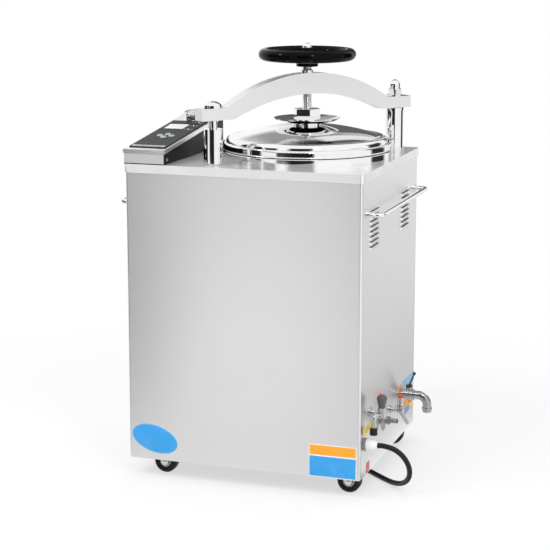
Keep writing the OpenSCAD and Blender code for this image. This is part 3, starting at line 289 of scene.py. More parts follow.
def on_side(y, z):
    """Frame on the right panel: X to the back, Y up, Z out of the panel."""
    return axes((HALF_W, y, z), (1, 0, 0), (0, 1, 0))


def on_back(x, z):
    """Frame on the back panel, with Z out of it."""
    return axes((x, HALF_D, z), (0, 1, 0), (-1, 0, 0))


# Materials: a noise runs from 0 to 1, and most of it lies within these ranges

MIDDLE = (0.3, 0.7)
NARROW = (0.35, 0.65)
WIDE = (0.25, 0.75)
SOCKETS = {
    "metallic": "Metallic", "specular": "Specular IOR Level", "ior": "IOR", "sheen": "Sheen Weight",
    "transmission": "Transmission Weight", "coat": "Coat Weight", "coat_rough": "Coat Roughness",
    "anisotropic": "Anisotropic", "grain_turn": "Anisotropic Rotation"}


class Nodes:
    """A node tree, built from a few plain steps."""

    def __init__(self, tree):
        self.tree = tree
        tree.nodes.clear()

    def node(self, kind, sockets=None, **props):
        """New node with some of its sockets and properties set."""
        n = self.tree.nodes.new(kind)
        for k, v in props.items():
            setattr(n, k, v)
        for k, v in (sockets or {}).items():
            n.inputs[k].default_value = v
        return n

    def link(self, a, b):
        self.tree.links.new(a, b)

    def feed(self, socket, value):
        """Gives a socket a number, a colour or another node's output."""
        if isinstance(value, (int, float)):
            socket.default_value = value
        elif isinstance(value, tuple):
            socket.default_value = (*value, 1.0)
        else:
            self.link(value, socket)

    def span(self, value, source, target=(0.0, 1.0), smooth=False):
        """Maps value from one range on to another and holds it there beyond the ends."""
        ends = dict(zip(("From Min", "From Max", "To Min", "To Max"), (*source, *target)))
        n = self.node("ShaderNodeMapRange", ends, interpolation_type="SMOOTHSTEP" if smooth else "LINEAR")
        self.feed(n.inputs["Value"], value)
        return n.outputs[0]

    def calc(self, kind, a, b=0.0):
        n = self.node("ShaderNodeMath", operation=kind)
        self.feed(n.inputs[0], a)
        self.feed(n.inputs[1], b)
        return n.outputs[0]

    def add(self, a, b):
        return self.calc("ADD", a, b)

    def times(self, a, b):
        return self.calc("MULTIPLY", a, b)

    def either(self, a, b):
        return self.calc("MAXIMUM", a, b)


class Finish(Nodes):
    """One node material; constants are numbers that are the same all over, by their keys in SOCKETS."""

    def __init__(self, name, **constants):
        self.mat = bpy.data.materials.new(name)
        self.mat.use_nodes = True
        super().__init__(self.mat.node_tree)
        self.out = self.node("ShaderNodeOutputMaterial")
        self.bsdf = self.node("ShaderNodeBsdfPrincipled", {SOCKETS[k]: v for k, v in constants.items()})
        self.link(self.bsdf.outputs[0], self.out.inputs[0])
        self.place = self.node("ShaderNodeTexCoord").outputs["Object"]

    def noise(self, scale, detail=2, rough=0.5, distortion=0.0, where=None):
        n = self.node("ShaderNodeTexNoise", {
            "Scale": scale, "Detail": detail, "Roughness": rough, "Distortion": distortion})
        self.link(where or self.place, n.inputs["Vector"])
        return n.outputs["Fac"]

    def grain(self, scales, detail, rough):
        """Noise drawn out into lines, which run the way of the smallest of its three scales."""
        n = self.node("ShaderNodeMapping", {"Scale": scales})
        self.link(self.place, n.inputs["Vector"])
        return self.noise(1.0, detail, rough, where=n.outputs[0])

    def cells(self, scale):
        n = self.node("ShaderNodeTexVoronoi", {"Scale": scale}, feature="F1")
        self.link(self.place, n.inputs["Vector"])
        return n.outputs["Distance"]

    def axis(self, which, source=None):
        n = self.node("ShaderNodeSeparateXYZ")
        self.link(source or self.place, n.inputs[0])
        return n.outputs[which]

    def mix(self, t, a, b):
        n = self.node("ShaderNodeMix", data_type="RGBA")
        self.feed(n.inputs[0], t)
        self.feed(n.inputs[6], a)
        self.feed(n.inputs[7], b)
        return n.outputs[2]

    def mottle(self, noise, a, b):
        """Colour that wanders between a and b with a noise."""
        return self.mix(self.span(noise, MIDDLE), a, b)

    def color(self, value):
        self.feed(self.bsdf.inputs["Base Color"], value)

    def rough(self, value):
        self.feed(self.bsdf.inputs["Roughness"], value)

    def bump(self, height, strength, depth):
        """Relief of a depth in millimetres."""
        n = self.node("ShaderNodeBump", {"Strength": strength, "Distance": depth * MM})
        self.feed(n.inputs["Height"], height)
        self.link(n.outputs[0], self.bsdf.inputs["Normal"])

    def glow_over(self, under, amount, value):
        """In place of the usual shader: the shader under, covered by plain light where amount says so."""
        self.tree.nodes.remove(self.bsdf)
        glow = self.node("ShaderNodeEmission", {"Color": (value, value, value, 1)})
        mix = self.node("ShaderNodeMixShader")
        self.feed(mix.inputs[0], amount)
        self.link(under.outputs[0], mix.inputs[1])
        self.link(glow.outputs[0], mix.inputs[2])
        self.link(mix.outputs[0], self.out.inputs[0])


def tone(v, warm=0.0):
    """Grey, a little red for a positive warm and a little blue for a negative one."""
    most = 0.97
    return (min(v * (1 + warm), most), min(v, most), min(v * (1 - warm), most))


def tinted(v, tint):
    return tuple(min(v * t, 1.0) for t in tint)


def satin_steel():
    """Brushed metal: fine and wide level streaks, faint clouds and hand marks."""
    base, rough, streak = 0.86, 0.25, (-0.04, 0.04)
    f = Finish("satin_steel", metallic=1.0)
    fine = f.grain((60, 60, 420), detail=4, rough=0.62)
    wide = f.grain((13.2, 13.2, 92.4), detail=2, rough=0.5)
    cloud = f.noise(3.4, detail=3, rough=0.55)
    smudge = f.noise(11.0, detail=4, rough=0.6, distortion=0.6)
    lines = f.add(f.span(fine, MIDDLE, streak), f.span(wide, MIDDLE, streak))
    t = f.add(f.add(lines, 0.5), f.span(cloud, NARROW, (-0.05, 0.05)))
    f.color(f.mix(t, tone(base * 0.92, 0.004), tone(base * 1.06, -0.004)))
    marks = f.span(smudge, (0.52, 0.75), (0.0, 0.035))
    f.rough(f.add(f.span(fine, WIDE, (rough * 0.88, rough * 1.12)), marks))
    f.bump(fine, strength=0.12, depth=0.06)
    return f.mat


def polished(name, base, rough, warm=0.0):
    """Bright plated or buffed metal with faint smears and fine lines."""
    f = Finish(name, metallic=1.0)
    smear = f.noise(14.0, detail=4, rough=0.6, distortion=0.8)
    fine = f.noise(180.0)
    f.color(f.mottle(smear, tone(base * 0.96, warm), tone(base * 1.04, warm)))
    smeared = f.span(smear, (0.35, 0.8), (rough, rough + 0.04))
    f.rough(f.add(smeared, f.span(fine, MIDDLE, (-0.012, 0.012))))
    f.bump(f.noise(60.0), strength=0.04, depth=0.1)
    return f.mat


def plate_steel():
    """The satin finished top plate with wiped smears; its folded rim has a level grain."""
    f = Finish("plate_steel", metallic=0.55)
    smear = f.noise(9.0, detail=5, rough=0.62, distortion=0.9)
    grain = f.grain((4.0, 4.0, 700.0), detail=4, rough=0.6)
    edge = ((Z_TOP - 1.6) * MM, (Z_TOP - 0.4) * MM)
    rim = f.span(f.axis(2), edge, (1.0, 0.0), smooth=True)
    f.color(f.mottle(smear, tone(0.86), tone(0.93)))
    face = f.span(smear, (0.4, 0.8), (0.24, 0.29))
    fold = f.span(grain, WIDE, (0.245, 0.26))
    f.rough(f.add(f.times(rim, fold), f.times(f.calc("SUBTRACT", 1.0, rim), face)))
    f.bump(f.noise(24.0), strength=0.03, depth=0.3)
    return f.mat


def panel_steel():
    """Brushed stainless sheet: level grain, which spreads reflections up and down, smears, scratches."""
    f = Finish("panel_steel", metallic=1.0, anisotropic=0.72, grain_turn=0.25)
    grain = f.grain((3.0, 3.0, 620.0), detail=4, rough=0.6)
    cloud = f.noise(2.2)
    smudge = f.noise(7.0, detail=5, rough=0.62, distortion=0.9)
    scratch = f.grain((9.0, 9.0, 1500.0), detail=2, rough=0.4)
    t = f.add(f.span(grain, MIDDLE, (0.44, 0.56)), f.span(cloud, NARROW, (-0.12, 0.12)))
    f.color(f.mix(t, (0.885, 0.868, 0.876), (0.945, 0.934, 0.938)))
    wiped = f.add(f.span(grain, WIDE, (0.29, 0.34)), f.span(smudge, (0.55, 0.8), (0.0, 0.04)))
    f.rough(f.add(wiped, f.span(scratch, (0.62, 0.8), (0.0, 0.03))))
    f.bump(grain, strength=0.08, depth=0.05)
    return f.mat


def painted(name, base, rough, peel, depth, tint=(1, 1, 1), **constants):
    """Paint or hard plastic: a slight texture, dust in places and small tone changes."""
    f = Finish(name, **constants)
    cloud = f.noise(9.0, detail=3, rough=0.55)
    dust = f.noise(38.0, detail=5, rough=0.7, distortion=0.4)
    clean = f.mottle(cloud, tinted(base * 0.92, tint), tinted(base * 1.08, tint))
    f.color(f.mix(f.span(dust, (0.56, 0.82), (0.0, 0.10)), clean, tinted(base * 1.3 + 0.01, tint)))
    even = f.span(cloud, MIDDLE, (rough * 0.92, rough * 1.08))
    f.rough(f.add(even, f.span(dust, (0.5, 0.8), (0.0, 0.06))))
    f.bump(f.noise(peel), strength=0.25, depth=depth)
    return f.mat


def insulation_wool():
    f = Finish("insulation_wool", sheen=0.15)
    fibre = f.grain((260, 260, 60), detail=6, rough=0.75)
    tuft = f.noise(60, detail=4, rough=0.6)
    f.color(f.mottle(tuft, (0.58, 0.53, 0.40), (0.74, 0.70, 0.58)))
    f.rough(f.span(fibre, (0.2, 0.8), (0.85, 0.98)))
    f.bump(f.add(fibre, tuft), strength=0.8, depth=1.5)
    return f.mat


def heater_sheath():
    f = Finish("heater_sheath", metallic=0.9)
    heat = f.noise(18, detail=4, rough=0.6, distortion=1.0)
    f.color(f.mottle(heat, (0.25, 0.22, 0.19), (0.40, 0.31, 0.20)))
    f.rough(f.span(heat, MIDDLE, (0.42, 0.6)))
    f.bump(f.noise(300, detail=3, rough=0.6), strength=0.3, depth=0.1)
    return f.mat


def rubber(name, base, rough, grain=700, depth=0.1):
    f = Finish(name, specular=0.3)
    fleck = f.noise(45, detail=4, rough=0.6)
    scuff = f.noise(16, detail=5, rough=0.7, distortion=0.8)
    clean = f.mottle(fleck, tone(base * 0.8), tone(base * 1.2))
    f.color(f.mix(f.span(scuff, (0.58, 0.8), (0.0, 0.5)), clean, tone(base * 2.0 + 0.01, 0.03)))
    f.rough(f.span(fleck, MIDDLE, (rough * 0.9, rough * 1.1)))
    f.bump(f.noise(grain, detail=3, rough=0.6), strength=0.35, depth=depth)
    return f.mat


def wheel_black():
    """Moulded hand wheel, glossy black with faint swirls where hands hold it."""
    f = Finish("wheel_black", specular=0.07)
    swirl = f.noise(22, detail=4, rough=0.6, distortion=0.7)
    mark = f.grain((25, 25, 300), detail=3, rough=0.5)
    f.color(f.mottle(swirl, (0.0015, 0.0015, 0.0018), (0.0035, 0.0033, 0.0033)))
    glossy = f.span(swirl, (0.35, 0.75), (0.07, 0.13))
    f.rough(f.add(glossy, f.span(mark, (0.62, 0.8), (0.0, 0.05))))
    f.bump(f.noise(90), strength=0.06, depth=0.2)
    return f.mat


def keypad_dark():
    """Fine grained keypad film."""
    f = Finish("keypad_dark", specular=0.12)
    cloud = f.noise(30, detail=3, rough=0.6)
    f.color(f.mottle(cloud, (0.014, 0.019, 0.018), (0.024, 0.030, 0.028)))
    f.rough(f.span(cloud, MIDDLE, (0.38, 0.48)))
    f.bump(f.cells(2600), strength=0.2, depth=0.04)
    return f.mat


def gauge_pane():
    """Clear plastic with faint smears."""
    f = Finish("gauge_pane", transmission=1.0, ior=1.49)
    smear = f.noise(40, detail=4, rough=0.6, distortion=0.5)
    f.color((0.97, 0.985, 0.98))
    f.rough(f.span(smear, (0.4, 0.8), (0.02, 0.07)))
    f.bump(f.noise(120), strength=0.02, depth=0.05)
    return f.mat


def ink(name, base, rough=0.38):
    """Printed film: even colour with a light mottle, worn paler in places, and a faint sheen."""
    f = Finish(name, specular=0.4, coat=0.15, coat_rough=0.2)
    fleck = f.noise(160, detail=3, rough=0.6)
    fade = f.noise(26, detail=3, rough=0.5)
    fresh = f.mottle(fleck, tinted(0.95, base), tinted(1.04, base))
    worn = tuple(0.5 * v + 0.4 for v in base)
    f.color(f.mix(f.span(fade, (0.5, 0.75), (0.0, 0.12)), fresh, worn))
    f.rough(f.span(fleck, MIDDLE, (rough * 0.9, rough * 1.1)))
    f.bump(f.noise(900), strength=0.1, depth=0.03)
    return f.mat


def plain_name(mat):
    """A material's name without the number that Blender adds where names meet."""
    return mat.name.split(".")[0]


SLOT_MATS = (
    panel_steel(),
    polished("mirror_steel", base=0.91, rough=0.045),
    satin_steel(),
    painted("frame_paint", base=0.16, rough=0.55, peel=500, depth=0.2),
    heater_sheath(),
    rubber("seal_rubber", base=0.020, rough=0.55),
    insulation_wool(),
    wheel_black(),
    painted("housing_grey", base=0.47, rough=0.34, peel=420, depth=0.12,
            tint=(0.99, 0.985, 1.01), coat=0.2, coat_rough=0.2),
    painted("cover_black", base=0.005, rough=0.20, peel=300, depth=0.1, specular=0.08),
    polished("cap_silver", base=0.95, rough=0.22),
    keypad_dark(),
    ink("key_light", (0.62, 0.65, 0.64), rough=0.4),
    ink("display_pane", (0.84, 0.87, 0.87), rough=0.22),
    ink("light_amber", (0.80, 0.66, 0.44), rough=0.2),
    polished("gauge_metal", base=0.84, rough=0.09),
    ink("needle_red", (0.62, 0.03, 0.02), rough=0.35),
    gauge_pane(),
    polished("screw_steel", base=0.70, rough=0.22),
    painted("gland_white", base=0.83, rough=0.40, peel=700, depth=0.1, tint=(1, 0.995, 0.98)),
    painted("gland_grey", base=0.22, rough=0.42, peel=700, depth=0.1),
    rubber("cord_black", base=0.010, rough=0.46, grain=900, depth=0.12),
    rubber("plug_black", base=0.014, rough=0.42, grain=1100, depth=0.12),
    polished("valve_chrome", base=0.55, rough=0.13),
    polished("valve_brass", base=0.30, rough=0.32, warm=0.03),
    painted("knob_grey", base=0.105, rough=0.36, peel=800, depth=0.15, specular=0.35),
    painted("lever_black", base=0.012, rough=0.35, peel=700, depth=0.1, coat=0.2, coat_rough=0.2),
    polished("caster_zinc", base=0.60, rough=0.26, warm=0.02),
    rubber("tyre_black", base=0.012, rough=0.55, grain=500, depth=0.15),
)
MATS = {plain_name(mat): mat for mat in SLOT_MATS}
INK_COLORS = {
    "blue": (0.032, 0.345, 0.78), "orange": (0.93, 0.38, 0.015), "yellow": (0.92, 0.72, 0.06),
    "sky_blue": (0.22, 0.52, 0.84), "red": (0.66, 0.06, 0.035), "green": (0.03, 0.40, 0.12),
    "white": (0.86, 0.86, 0.86), "grey": (0.42, 0.43, 0.43), "black": (0.012, 0.012, 0.013)}
INKS = {key: ink("ink_" + key, color) for key, color in INK_COLORS.items()}
HUB_GREY = painted("hub_grey", base=0.46, rough=0.38, peel=700, depth=0.1)
NODE_MATS = {
    "top_plate": plate_steel(),
    # Painted shade: the tap spout gets its own darker copy of the chrome, and its darker base colour
    # stands in for shading on the spout
    "tap_spout": polished("tap_chrome_darkened_for_shade", base=0.42, rough=0.15),
    "left_handle": MATS["mirror_steel"],
    "right_handle": MATS["mirror_steel"],
}


def dress_nodes():
    """Gives every CAD node the material of its slot, or its own."""
    for o in bpy.data.objects:
        for s in o.material_slots:
            s.material = NODE_MATS.get(o.name) or MATS[plain_name(s.material)]


dress_nodes()


# Mains lead: the route is the source's own, from the gland to the coil behind the cabinet

ROUTE = [
    (284, -194, 111), (298, -194, 111), (318, -193, 106), (334, -190, 94), (344, -184, 77),
    (347, -175, 58), (343, -164, 40), (333, -150, 25), (318, -134, 14), (300, -117, 8),
    (280, -99, 6), (258, -80, 6), (236, -60, 6), (214, -39, 6), (192, -16, 6), (172, 8, 6),
    (153, 33, 6), (136, 59, 6), (120, 86, 6), (106, 114, 6), (94, 142, 6), (84, 171, 6),
    (76, 200, 6), (71, 229, 6), (70, 257, 6), (70, 283, 6), (70, 304, 6)]
ROUTE_PARTS = 4
COIL_MID = (0.0, 315.0)
COIL_Z = 6.0
COIL_R = 70.0
COIL_PITCH = 12.0
COIL_LAYER = 12.0
COIL_TURNS = 4
COIL_CLIMB = 0.5
COIL_STEP = 5
CORD_D = 11.0
CORD_FACETS = 6
PLUG_OUT = 33.0
PLUG_OUT_PARTS = 6


def ease(x):
    x = min(max(x, 0.0), 1.0)
    return x * x * (3 - 2 * x)


def coil_point(deg):
    """Point of the coil: its turns close in, climb on to a second layer half way, and widen again."""
    turn = deg / 360.0
    half = COIL_TURNS / 2
    r = COIL_R - COIL_PITCH * (half - abs(turn - half))
    z = COIL_Z + COIL_LAYER * ease((turn - half) / COIL_CLIMB + 0.5)
    a = math.radians(deg)
    return Vector((COIL_MID[0] + r * math.cos(a), COIL_MID[1] + r * math.sin(a), z))


def smooth_route(points):
    """Even curve through every point."""
    pts = [Vector(p) for p in points]
    pts = [pts[0] * 2 - pts[1]] + pts + [pts[-1] * 2 - pts[-2]]
    out = []
    for k in range(1, len(pts) - 2):
        a, b, c, d = pts[k - 1:k + 3]
        for s in range(ROUTE_PARTS):
            t = s / ROUTE_PARTS
            out.append(0.5 * ((2 * b) + (c - a) * t + (2 * a - 5 * b + 4 * c - d) * t * t
                              + (3 * b - a - 3 * c + d) * t ** 3))
    out.append(pts[-2])
    return out


# Plug on the lead's end

PLUG_R = 17.4
PLUG_LENGTH = 62.0
RELIEF_RIBS = 5
RIB_FIRST = 2.2
RIB_STEP = 3.5
RIB_R = 7.1
RIB_GROWTH = 0.55
GRIP_GROOVES = 4
GROOVE_FIRST = 31.5
GROOVE_STEP = 4.6
GROOVE_R = 16.7
PIN_OFFSET = 9.5
PIN_R = 2.4
PIN_FOOT_R = 3.2
PIN_LENGTH = 20.0


def make_plug():
    """Moulded plug: ribbed strain relief, grip grooves, dark face and two pins."""
    at = axes((COIL_MID[0] + COIL_R, COIL_MID[1] + PLUG_OUT, COIL_Z + COIL_LAYER), (0, 1, 0), (1, 0, 0))
    profile = [(0, 0), (6.4, 0), (6.9, 0.6)]
    for k in range(RELIEF_RIBS):
        h = RIB_FIRST + k * RIB_STEP
        r = RIB_R + RIB_GROWTH * k
        profile += [(r, h - 0.9), (r - 1.3, h - 0.5), (r - 1.3, h + 0.5), (r + 0.25, h + 0.9)]
    profile += [(9.6, 19.2), (13.0, 20.4), (16.2, 22.6), (17.2, 25.2), (PLUG_R, 28.0)]
    for k in range(GRIP_GROOVES):
        h = GROOVE_FIRST + k * GROOVE_STEP
        profile += [(PLUG_R, h - 1.2), (GROOVE_R, h - 0.7), (GROOVE_R, h + 0.7), (PLUG_R, h + 1.2)]
    profile += [(PLUG_R, 52.0), (PLUG_R, PLUG_LENGTH - 1.4), (PLUG_R - 0.5, PLUG_LENGTH - 0.3),
                (PLUG_R - 1.6, PLUG_LENGTH), (0, PLUG_LENGTH)]
    body = turned("plug_body", profile, at, MATS["plug_black"], "cabinet", 56)
    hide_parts("plug")
    bm = bmesh.new()
    pin = [(0, 0), (PIN_FOOT_R, 0), (PIN_FOOT_R, 1.4), (PIN_R, 1.6), (PIN_R, PIN_LENGTH - 2.4),
           (PIN_R - 0.3, PIN_LENGTH - 0.8), (PIN_R / 2, PIN_LENGTH), (0, PIN_LENGTH)]
    for side in (-1, 1):
        add_revolve(bm, pin, shifted(at, side * PIN_OFFSET, 0, PLUG_LENGTH - 1), 24)
    pins = link_mesh("plug_pins", bm, MATS["gauge_metal"], "cabinet")
    bm = bmesh.new()
    add_prism(bm, centred(28, 8.8, 4.3), shifted(at, z=PLUG_LENGTH - 0.4), 0.8, 0.3)
    face = link_mesh("plug_face", bm, MATS["lever_black"], "cabinet")
    return body, pins, face


def make_lead():
    pts = smooth_route(ROUTE)
    pts += [coil_point(deg) for deg in range(COIL_STEP, COIL_TURNS * 360 + 1, COIL_STEP)]
    coil_end = pts[-1]
    for k in range(1, PLUG_OUT_PARTS + 1):
        pts.append(coil_end + Vector((0, PLUG_OUT * k / PLUG_OUT_PARTS, 0)))
    cu = bpy.data.curves.new("mains_lead", "CURVE")
    cu.dimensions = "3D"
    sp = cu.splines.new("POLY")
    sp.points.add(len(pts) - 1)
    for q, p in zip(sp.points, pts):
        q.co = (*(p * MM), 1)
    cu.bevel_depth = CORD_D / 2 * MM
    cu.bevel_resolution = CORD_FACETS
    cu.use_fill_caps = True
    cu.materials.append(MATS["cord_black"])
    obj = bpy.data.objects.new("mains_lead", cu)
    bpy.context.scene.collection.objects.link(obj)
    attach(obj, "cabinet")
    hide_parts("power_cord", "cord_coil")
    make_plug()


make_lead()


# Closing screw, with its thread between the thrust collar and the hand wheel

THREAD_PITCH = 5.0
THREAD_DEPTH = 1.25
THREAD_SIDES = 48
THREAD_RINGS = 12
THREAD_RUNOUT = 3.0
THREAD_STEEPNESS = 1.5
THREAD_CREST = 0.25
SCREW_R = 9.95
COLLAR_R = 14.0
COLLAR_T = 5.0
COLLAR_CHAMFER = 0.6
NECK_H = 0.4
OVERLAP = 0.2
WHEEL_HUB_H = 30.0
SCREW_END_R = 6.0


def thread_radius(z, share, z0, z1):
    """Radius at a height and a share of the turn: flat crests, sloping flanks, no thread at the ends."""
    fade = min(1.0, (z - z0) / THREAD_RUNOUT, (z1 - z) / THREAD_RUNOUT)
    flank = abs(2 * (((z - z0) / THREAD_PITCH - share) % 1.0) - 1)
    return SCREW_R - THREAD_DEPTH * min(1.0, max(0.0, THREAD_STEEPNESS * flank - THREAD_CREST)) * fade


def make_screw():
    foot, top = (corner.z for corner in corners("lid_screw"))
    collar_top = foot + COLLAR_T
    z0, z1 = collar_top + NECK_H, corners("hand_wheel")[0].z
    wheel_top = z1 + WHEEL_HUB_H
    at = upright(*AXIS, 0)
    bm = bmesh.new()
    add_revolve(bm, [
        (0, foot), (COLLAR_R - COLLAR_CHAMFER, foot), (COLLAR_R, foot + COLLAR_CHAMFER),
        (COLLAR_R, collar_top - COLLAR_CHAMFER), (COLLAR_R - COLLAR_CHAMFER, collar_top),
        (SCREW_R, collar_top), (SCREW_R - 0.7, z0 + OVERLAP), (0, z0 + OVERLAP)], at)
    count = int((z1 - z0) / THREAD_PITCH * THREAD_RINGS)
    rings = []
    for k in range(count + 1):
        z = z0 + (z1 - z0) * k / count
        ring = []
        for s in range(THREAD_SIDES):
            r = thread_radius(z, s / THREAD_SIDES, z0, z1)
            a = 2 * math.pi * s / THREAD_SIDES
            ring.append(add_point(bm, at, r * math.cos(a), r * math.sin(a), z))
        rings.append(ring)
    add_solid(bm, rings)
    add_revolve(bm, [
        (0, z1 - 0.5), (SCREW_R, z1 - 0.5), (SCREW_R, wheel_top - 0.4), (SCREW_R - 0.5, wheel_top),
        (SCREW_END_R, wheel_top), (SCREW_END_R, top - 1), (SCREW_END_R - 0.8, top), (0, top)], at)
    obj = link_mesh("screw_threaded", bm, MATS["mirror_steel"], "spindle", 50)
    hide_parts("lid_screw")


make_screw()


# Prints: thin films, bars and numerals that stand a little proud of what they are on

PRINT_T = 0.12
ARC_STEPS = 24
DIGIT_HALF_W = 0.27
SEGMENTS = {"0": "abcdef", "1": "bc", "2": "abged", "3": "abgcd", "4": "fgbc", "5": "afgcd"}


def film(name, at, outline, color, h=PRINT_T, body="cabinet"):
    """Thin printed sheet over an outline."""
    bm = bmesh.new()
    add_prism(bm, outline, at, h, h / 3)
    link_mesh(name, bm, INKS[color], body)


def add_bar(bm, at, start, end, w, h=PRINT_T):
    """Thin straight bar from one point to another, in the frame's plane."""
    a, b = Vector(start), Vector(end)
    d = (b - a).normalized()
    n = Vector((-d.y, d.x)) * w / 2
    add_prism(bm, [tuple(b + n), tuple(b - n), tuple(a - n), tuple(a + n)], at, h)


def add_digit(bm, at, char, x, y, size, w):
    """Numeral from straight strokes, standing on (x, y)."""
    left, right, mid = x - size * DIGIT_HALF_W, x + size * DIGIT_HALF_W, y + size / 2
    top = y + size
    strokes = {
        "a": ((left, top), (right, top)), "b": ((right, top), (right, mid)),
        "c": ((right, mid), (right, y)), "d": ((left, y), (right, y)),
        "e": ((left, y), (left, mid)), "f": ((left, mid), (left, top)),
        "g": ((left, mid), (right, mid))}
    for s in SEGMENTS[char]:
        add_bar(bm, at, *strokes[s], w)


def add_arc(bm, at, r0, r1, a0, a1):
    """Flat curved strip between two radii and two angles."""
    section = ((r0, 0), (r1, 0), (r1, PRINT_T), (r0, PRINT_T))
    rows = []
    for k in range(ARC_STEPS + 1):
        a = math.radians(a0 + (a1 - a0) * k / ARC_STEPS)
        rows.append([add_point(bm, at, r * math.cos(a), r * math.sin(a), z) for r, z in section])
    add_solid(bm, rows)


# Pressure gauge: the scale runs clockwise from its start, in degrees

DIAL_R = 24.6
DIAL_HOLE_R = 1.7
DIAL_RISE = 3.0
DIAL_T = 0.4
SCALE_START = 225
SCALE_SWEEP = 270
SCALE_STEPS = 40
SCALE_NUMBERS = 5
TICK_R = 21.6
LONG_TICK = (17.6, 0.62)
MIDDLE_TICK = (19.0, 0.32)
SHORT_TICK = (19.8, 0.32)
NUMBER_R = 13.9
NUMBER_H = 3.8
ARC_R = (22.2, 23.6)
GREEN_ARC = (117, 20)
RED_ARC = (20, -45)
BEZEL_PROFILE = [
    (24.9, -0.3), (26.0, 0.6), (27.6, 0.8), (28.9, 0.1), (29.4, -1.4), (29.4, -3.4), (28.9, -4.0),
    (28.4, -1.0), (26.0, -0.2)]


def scale_angle(share):
    return math.radians(SCALE_START - SCALE_SWEEP * share)


def add_tick(bm, face, k):
    """Mark of the scale; each kind has its inner radius and its width."""
    r, width = LONG_TICK if k % 8 == 0 else MIDDLE_TICK if k % 4 == 0 else SHORT_TICK
    a = scale_angle(k / SCALE_STEPS)
    c, s = math.cos(a), math.sin(a)
    add_bar(bm, face, (r * c, r * s), (TICK_R * c, TICK_R * s), width)


def make_gauge():
    """Dial with scale, numbers and two coloured arcs, and a rolled bezel, on the tilted gauge case."""
    u, v, w = slope_place("gauge_case")
    case_h = 2 * (w - CAP_T)
    dial = on_slope(u, v, CAP_T + DIAL_RISE)
    profile = [(DIAL_HOLE_R, 0.02), (DIAL_R, 0.02), (DIAL_R, DIAL_T), (DIAL_HOLE_R, DIAL_T)]
    turned("gauge_dial", profile, dial, INKS["white"], "cabinet", 72)
    face = shifted(dial, z=DIAL_T)
    bm = bmesh.new()
    for k in range(SCALE_STEPS + 1):
        add_tick(bm, face, k)
    for k in range(SCALE_NUMBERS + 1):
        a = scale_angle(k / SCALE_NUMBERS)
        foot = NUMBER_R * math.sin(a) - NUMBER_H / 2
        add_digit(bm, face, str(k), NUMBER_R * math.cos(a), foot, NUMBER_H, 0.5)
    link_mesh("gauge_marks", bm, INKS["black"], "cabinet")
    for color, angles in (("green", GREEN_ARC), ("red", RED_ARC)):
        bm = bmesh.new()
        add_arc(bm, face, *ARC_R, *angles)
        link_mesh(f"gauge_arc_{color}", bm, INKS[color], "cabinet")
    rim = on_slope(u, v, CAP_T + case_h)
    turned("gauge_bezel", BEZEL_PROFILE, rim, MATS["gauge_metal"], "cabinet", 96, smooth=60)


make_gauge()


# Keypad prints, placed by u across and v up the slope

KEYPAD = on_slope(w=CAP_T + PANEL_T)
STRIP_MARKS = 5
STRIP_FIRST = 16
STRIP_STEP = 12
STRIP_V = 25.5
STRIP_MARK_W = 8
STRIP_MARK_H = 3.2
DISPLAY_RISE = 0.6
CELL_ROWS = 3
CELL_COLUMNS = 4
CELL_FIRST = (-13, 10)
CELL_STEP = (8, 9)
CELL_W = 5
CELL_H = 4.2
LAST_ROW_H = 1.6
LIGHTS = 3
LIGHT_STEP = 32
KEYS = ("key_up", "key_down", "key_set", "key_start")
KEY_RING_PROFILE = [(5.9, 0), (6.9, 0), (6.9, 0.14), (5.9, 0.14)]
KEY_MARK_RISE = 1.3
ARROW = [(-2.2, -1.6), (2.2, -1.6), (0, 2.2)]


def make_strip():
    """Light strip at the keypad's front with a row of dark marks."""
    film("keypad_strip", KEYPAD, rounded(8.5, 19.5, 81.5, 32, 1.0), "grey")
    bm = bmesh.new()
    for k in range(STRIP_MARKS):
        u = STRIP_FIRST + STRIP_STEP * k
        add_bar(bm, shifted(KEYPAD, z=PRINT_T), (u, STRIP_V), (u + STRIP_MARK_W, STRIP_V), STRIP_MARK_H)
    link_mesh("keypad_strip_marks", bm, INKS["black"], "cabinet")


def make_display():
    """Dark frame round the display, and two rows of bars over a row of lines on it."""
    u, v, w = slope_place("display_window")
    film("display_frame", shifted(KEYPAD, u, v), centred(48, 46, 3), "black", 0.2)
    glass = on_slope(u, v, w + DISPLAY_RISE)
    bm = bmesh.new()
    for row in range(CELL_ROWS):
        y = CELL_FIRST[1] - CELL_STEP[1] * row
        height = LAST_ROW_H if row == CELL_ROWS - 1 else CELL_H
        for k in range(CELL_COLUMNS):
            x = CELL_FIRST[0] + CELL_STEP[0] * k
            add_bar(bm, glass, (x, y), (x + CELL_W, y), height, 0.1)
    link_mesh("display_marks", bm, INKS["grey"], "cabinet")


def make_light_marks():
    """A dash to the right of each indicator light and a stroke to its left."""
    bm = bmesh.new()
    for k in range(LIGHTS):
        v = slope_place("indicator_lights").y + LIGHT_STEP * (k - 1)
        add_bar(bm, KEYPAD, (75.5, v), (80.5, v), 1.2)
        add_bar(bm, KEYPAD, (63.0, v - 4), (63.0, v + 4), 0.8)
    link_mesh("light_marks", bm, INKS["white"], "cabinet")


def make_key_marks():
    """White ring round each key, and a plain mark on it that moves with it."""
    bm = bmesh.new()
    for key in KEYS:
        u, v, _ = slope_place(key)
        add_revolve(bm, KEY_RING_PROFILE, shifted(KEYPAD, u, v), 40)
    link_mesh("key_rings", bm, INKS["white"], "cabinet")
    outlines = (ARROW, [(-x, -y) for x, y in ARROW], oval(1.6, 1.6), centred(3.4, 3.4, 0.5))
    for key, outline in zip(KEYS, outlines):
        u, v, w = slope_place(key)
        film(f"mark_{key}", on_slope(u, v, w + KEY_MARK_RISE), outline, "black", 0.3, key)


make_strip()
make_display()
make_light_marks()
make_key_marks()


# Bare colour panels where the photograph has labels: each place is across or along its side, and up

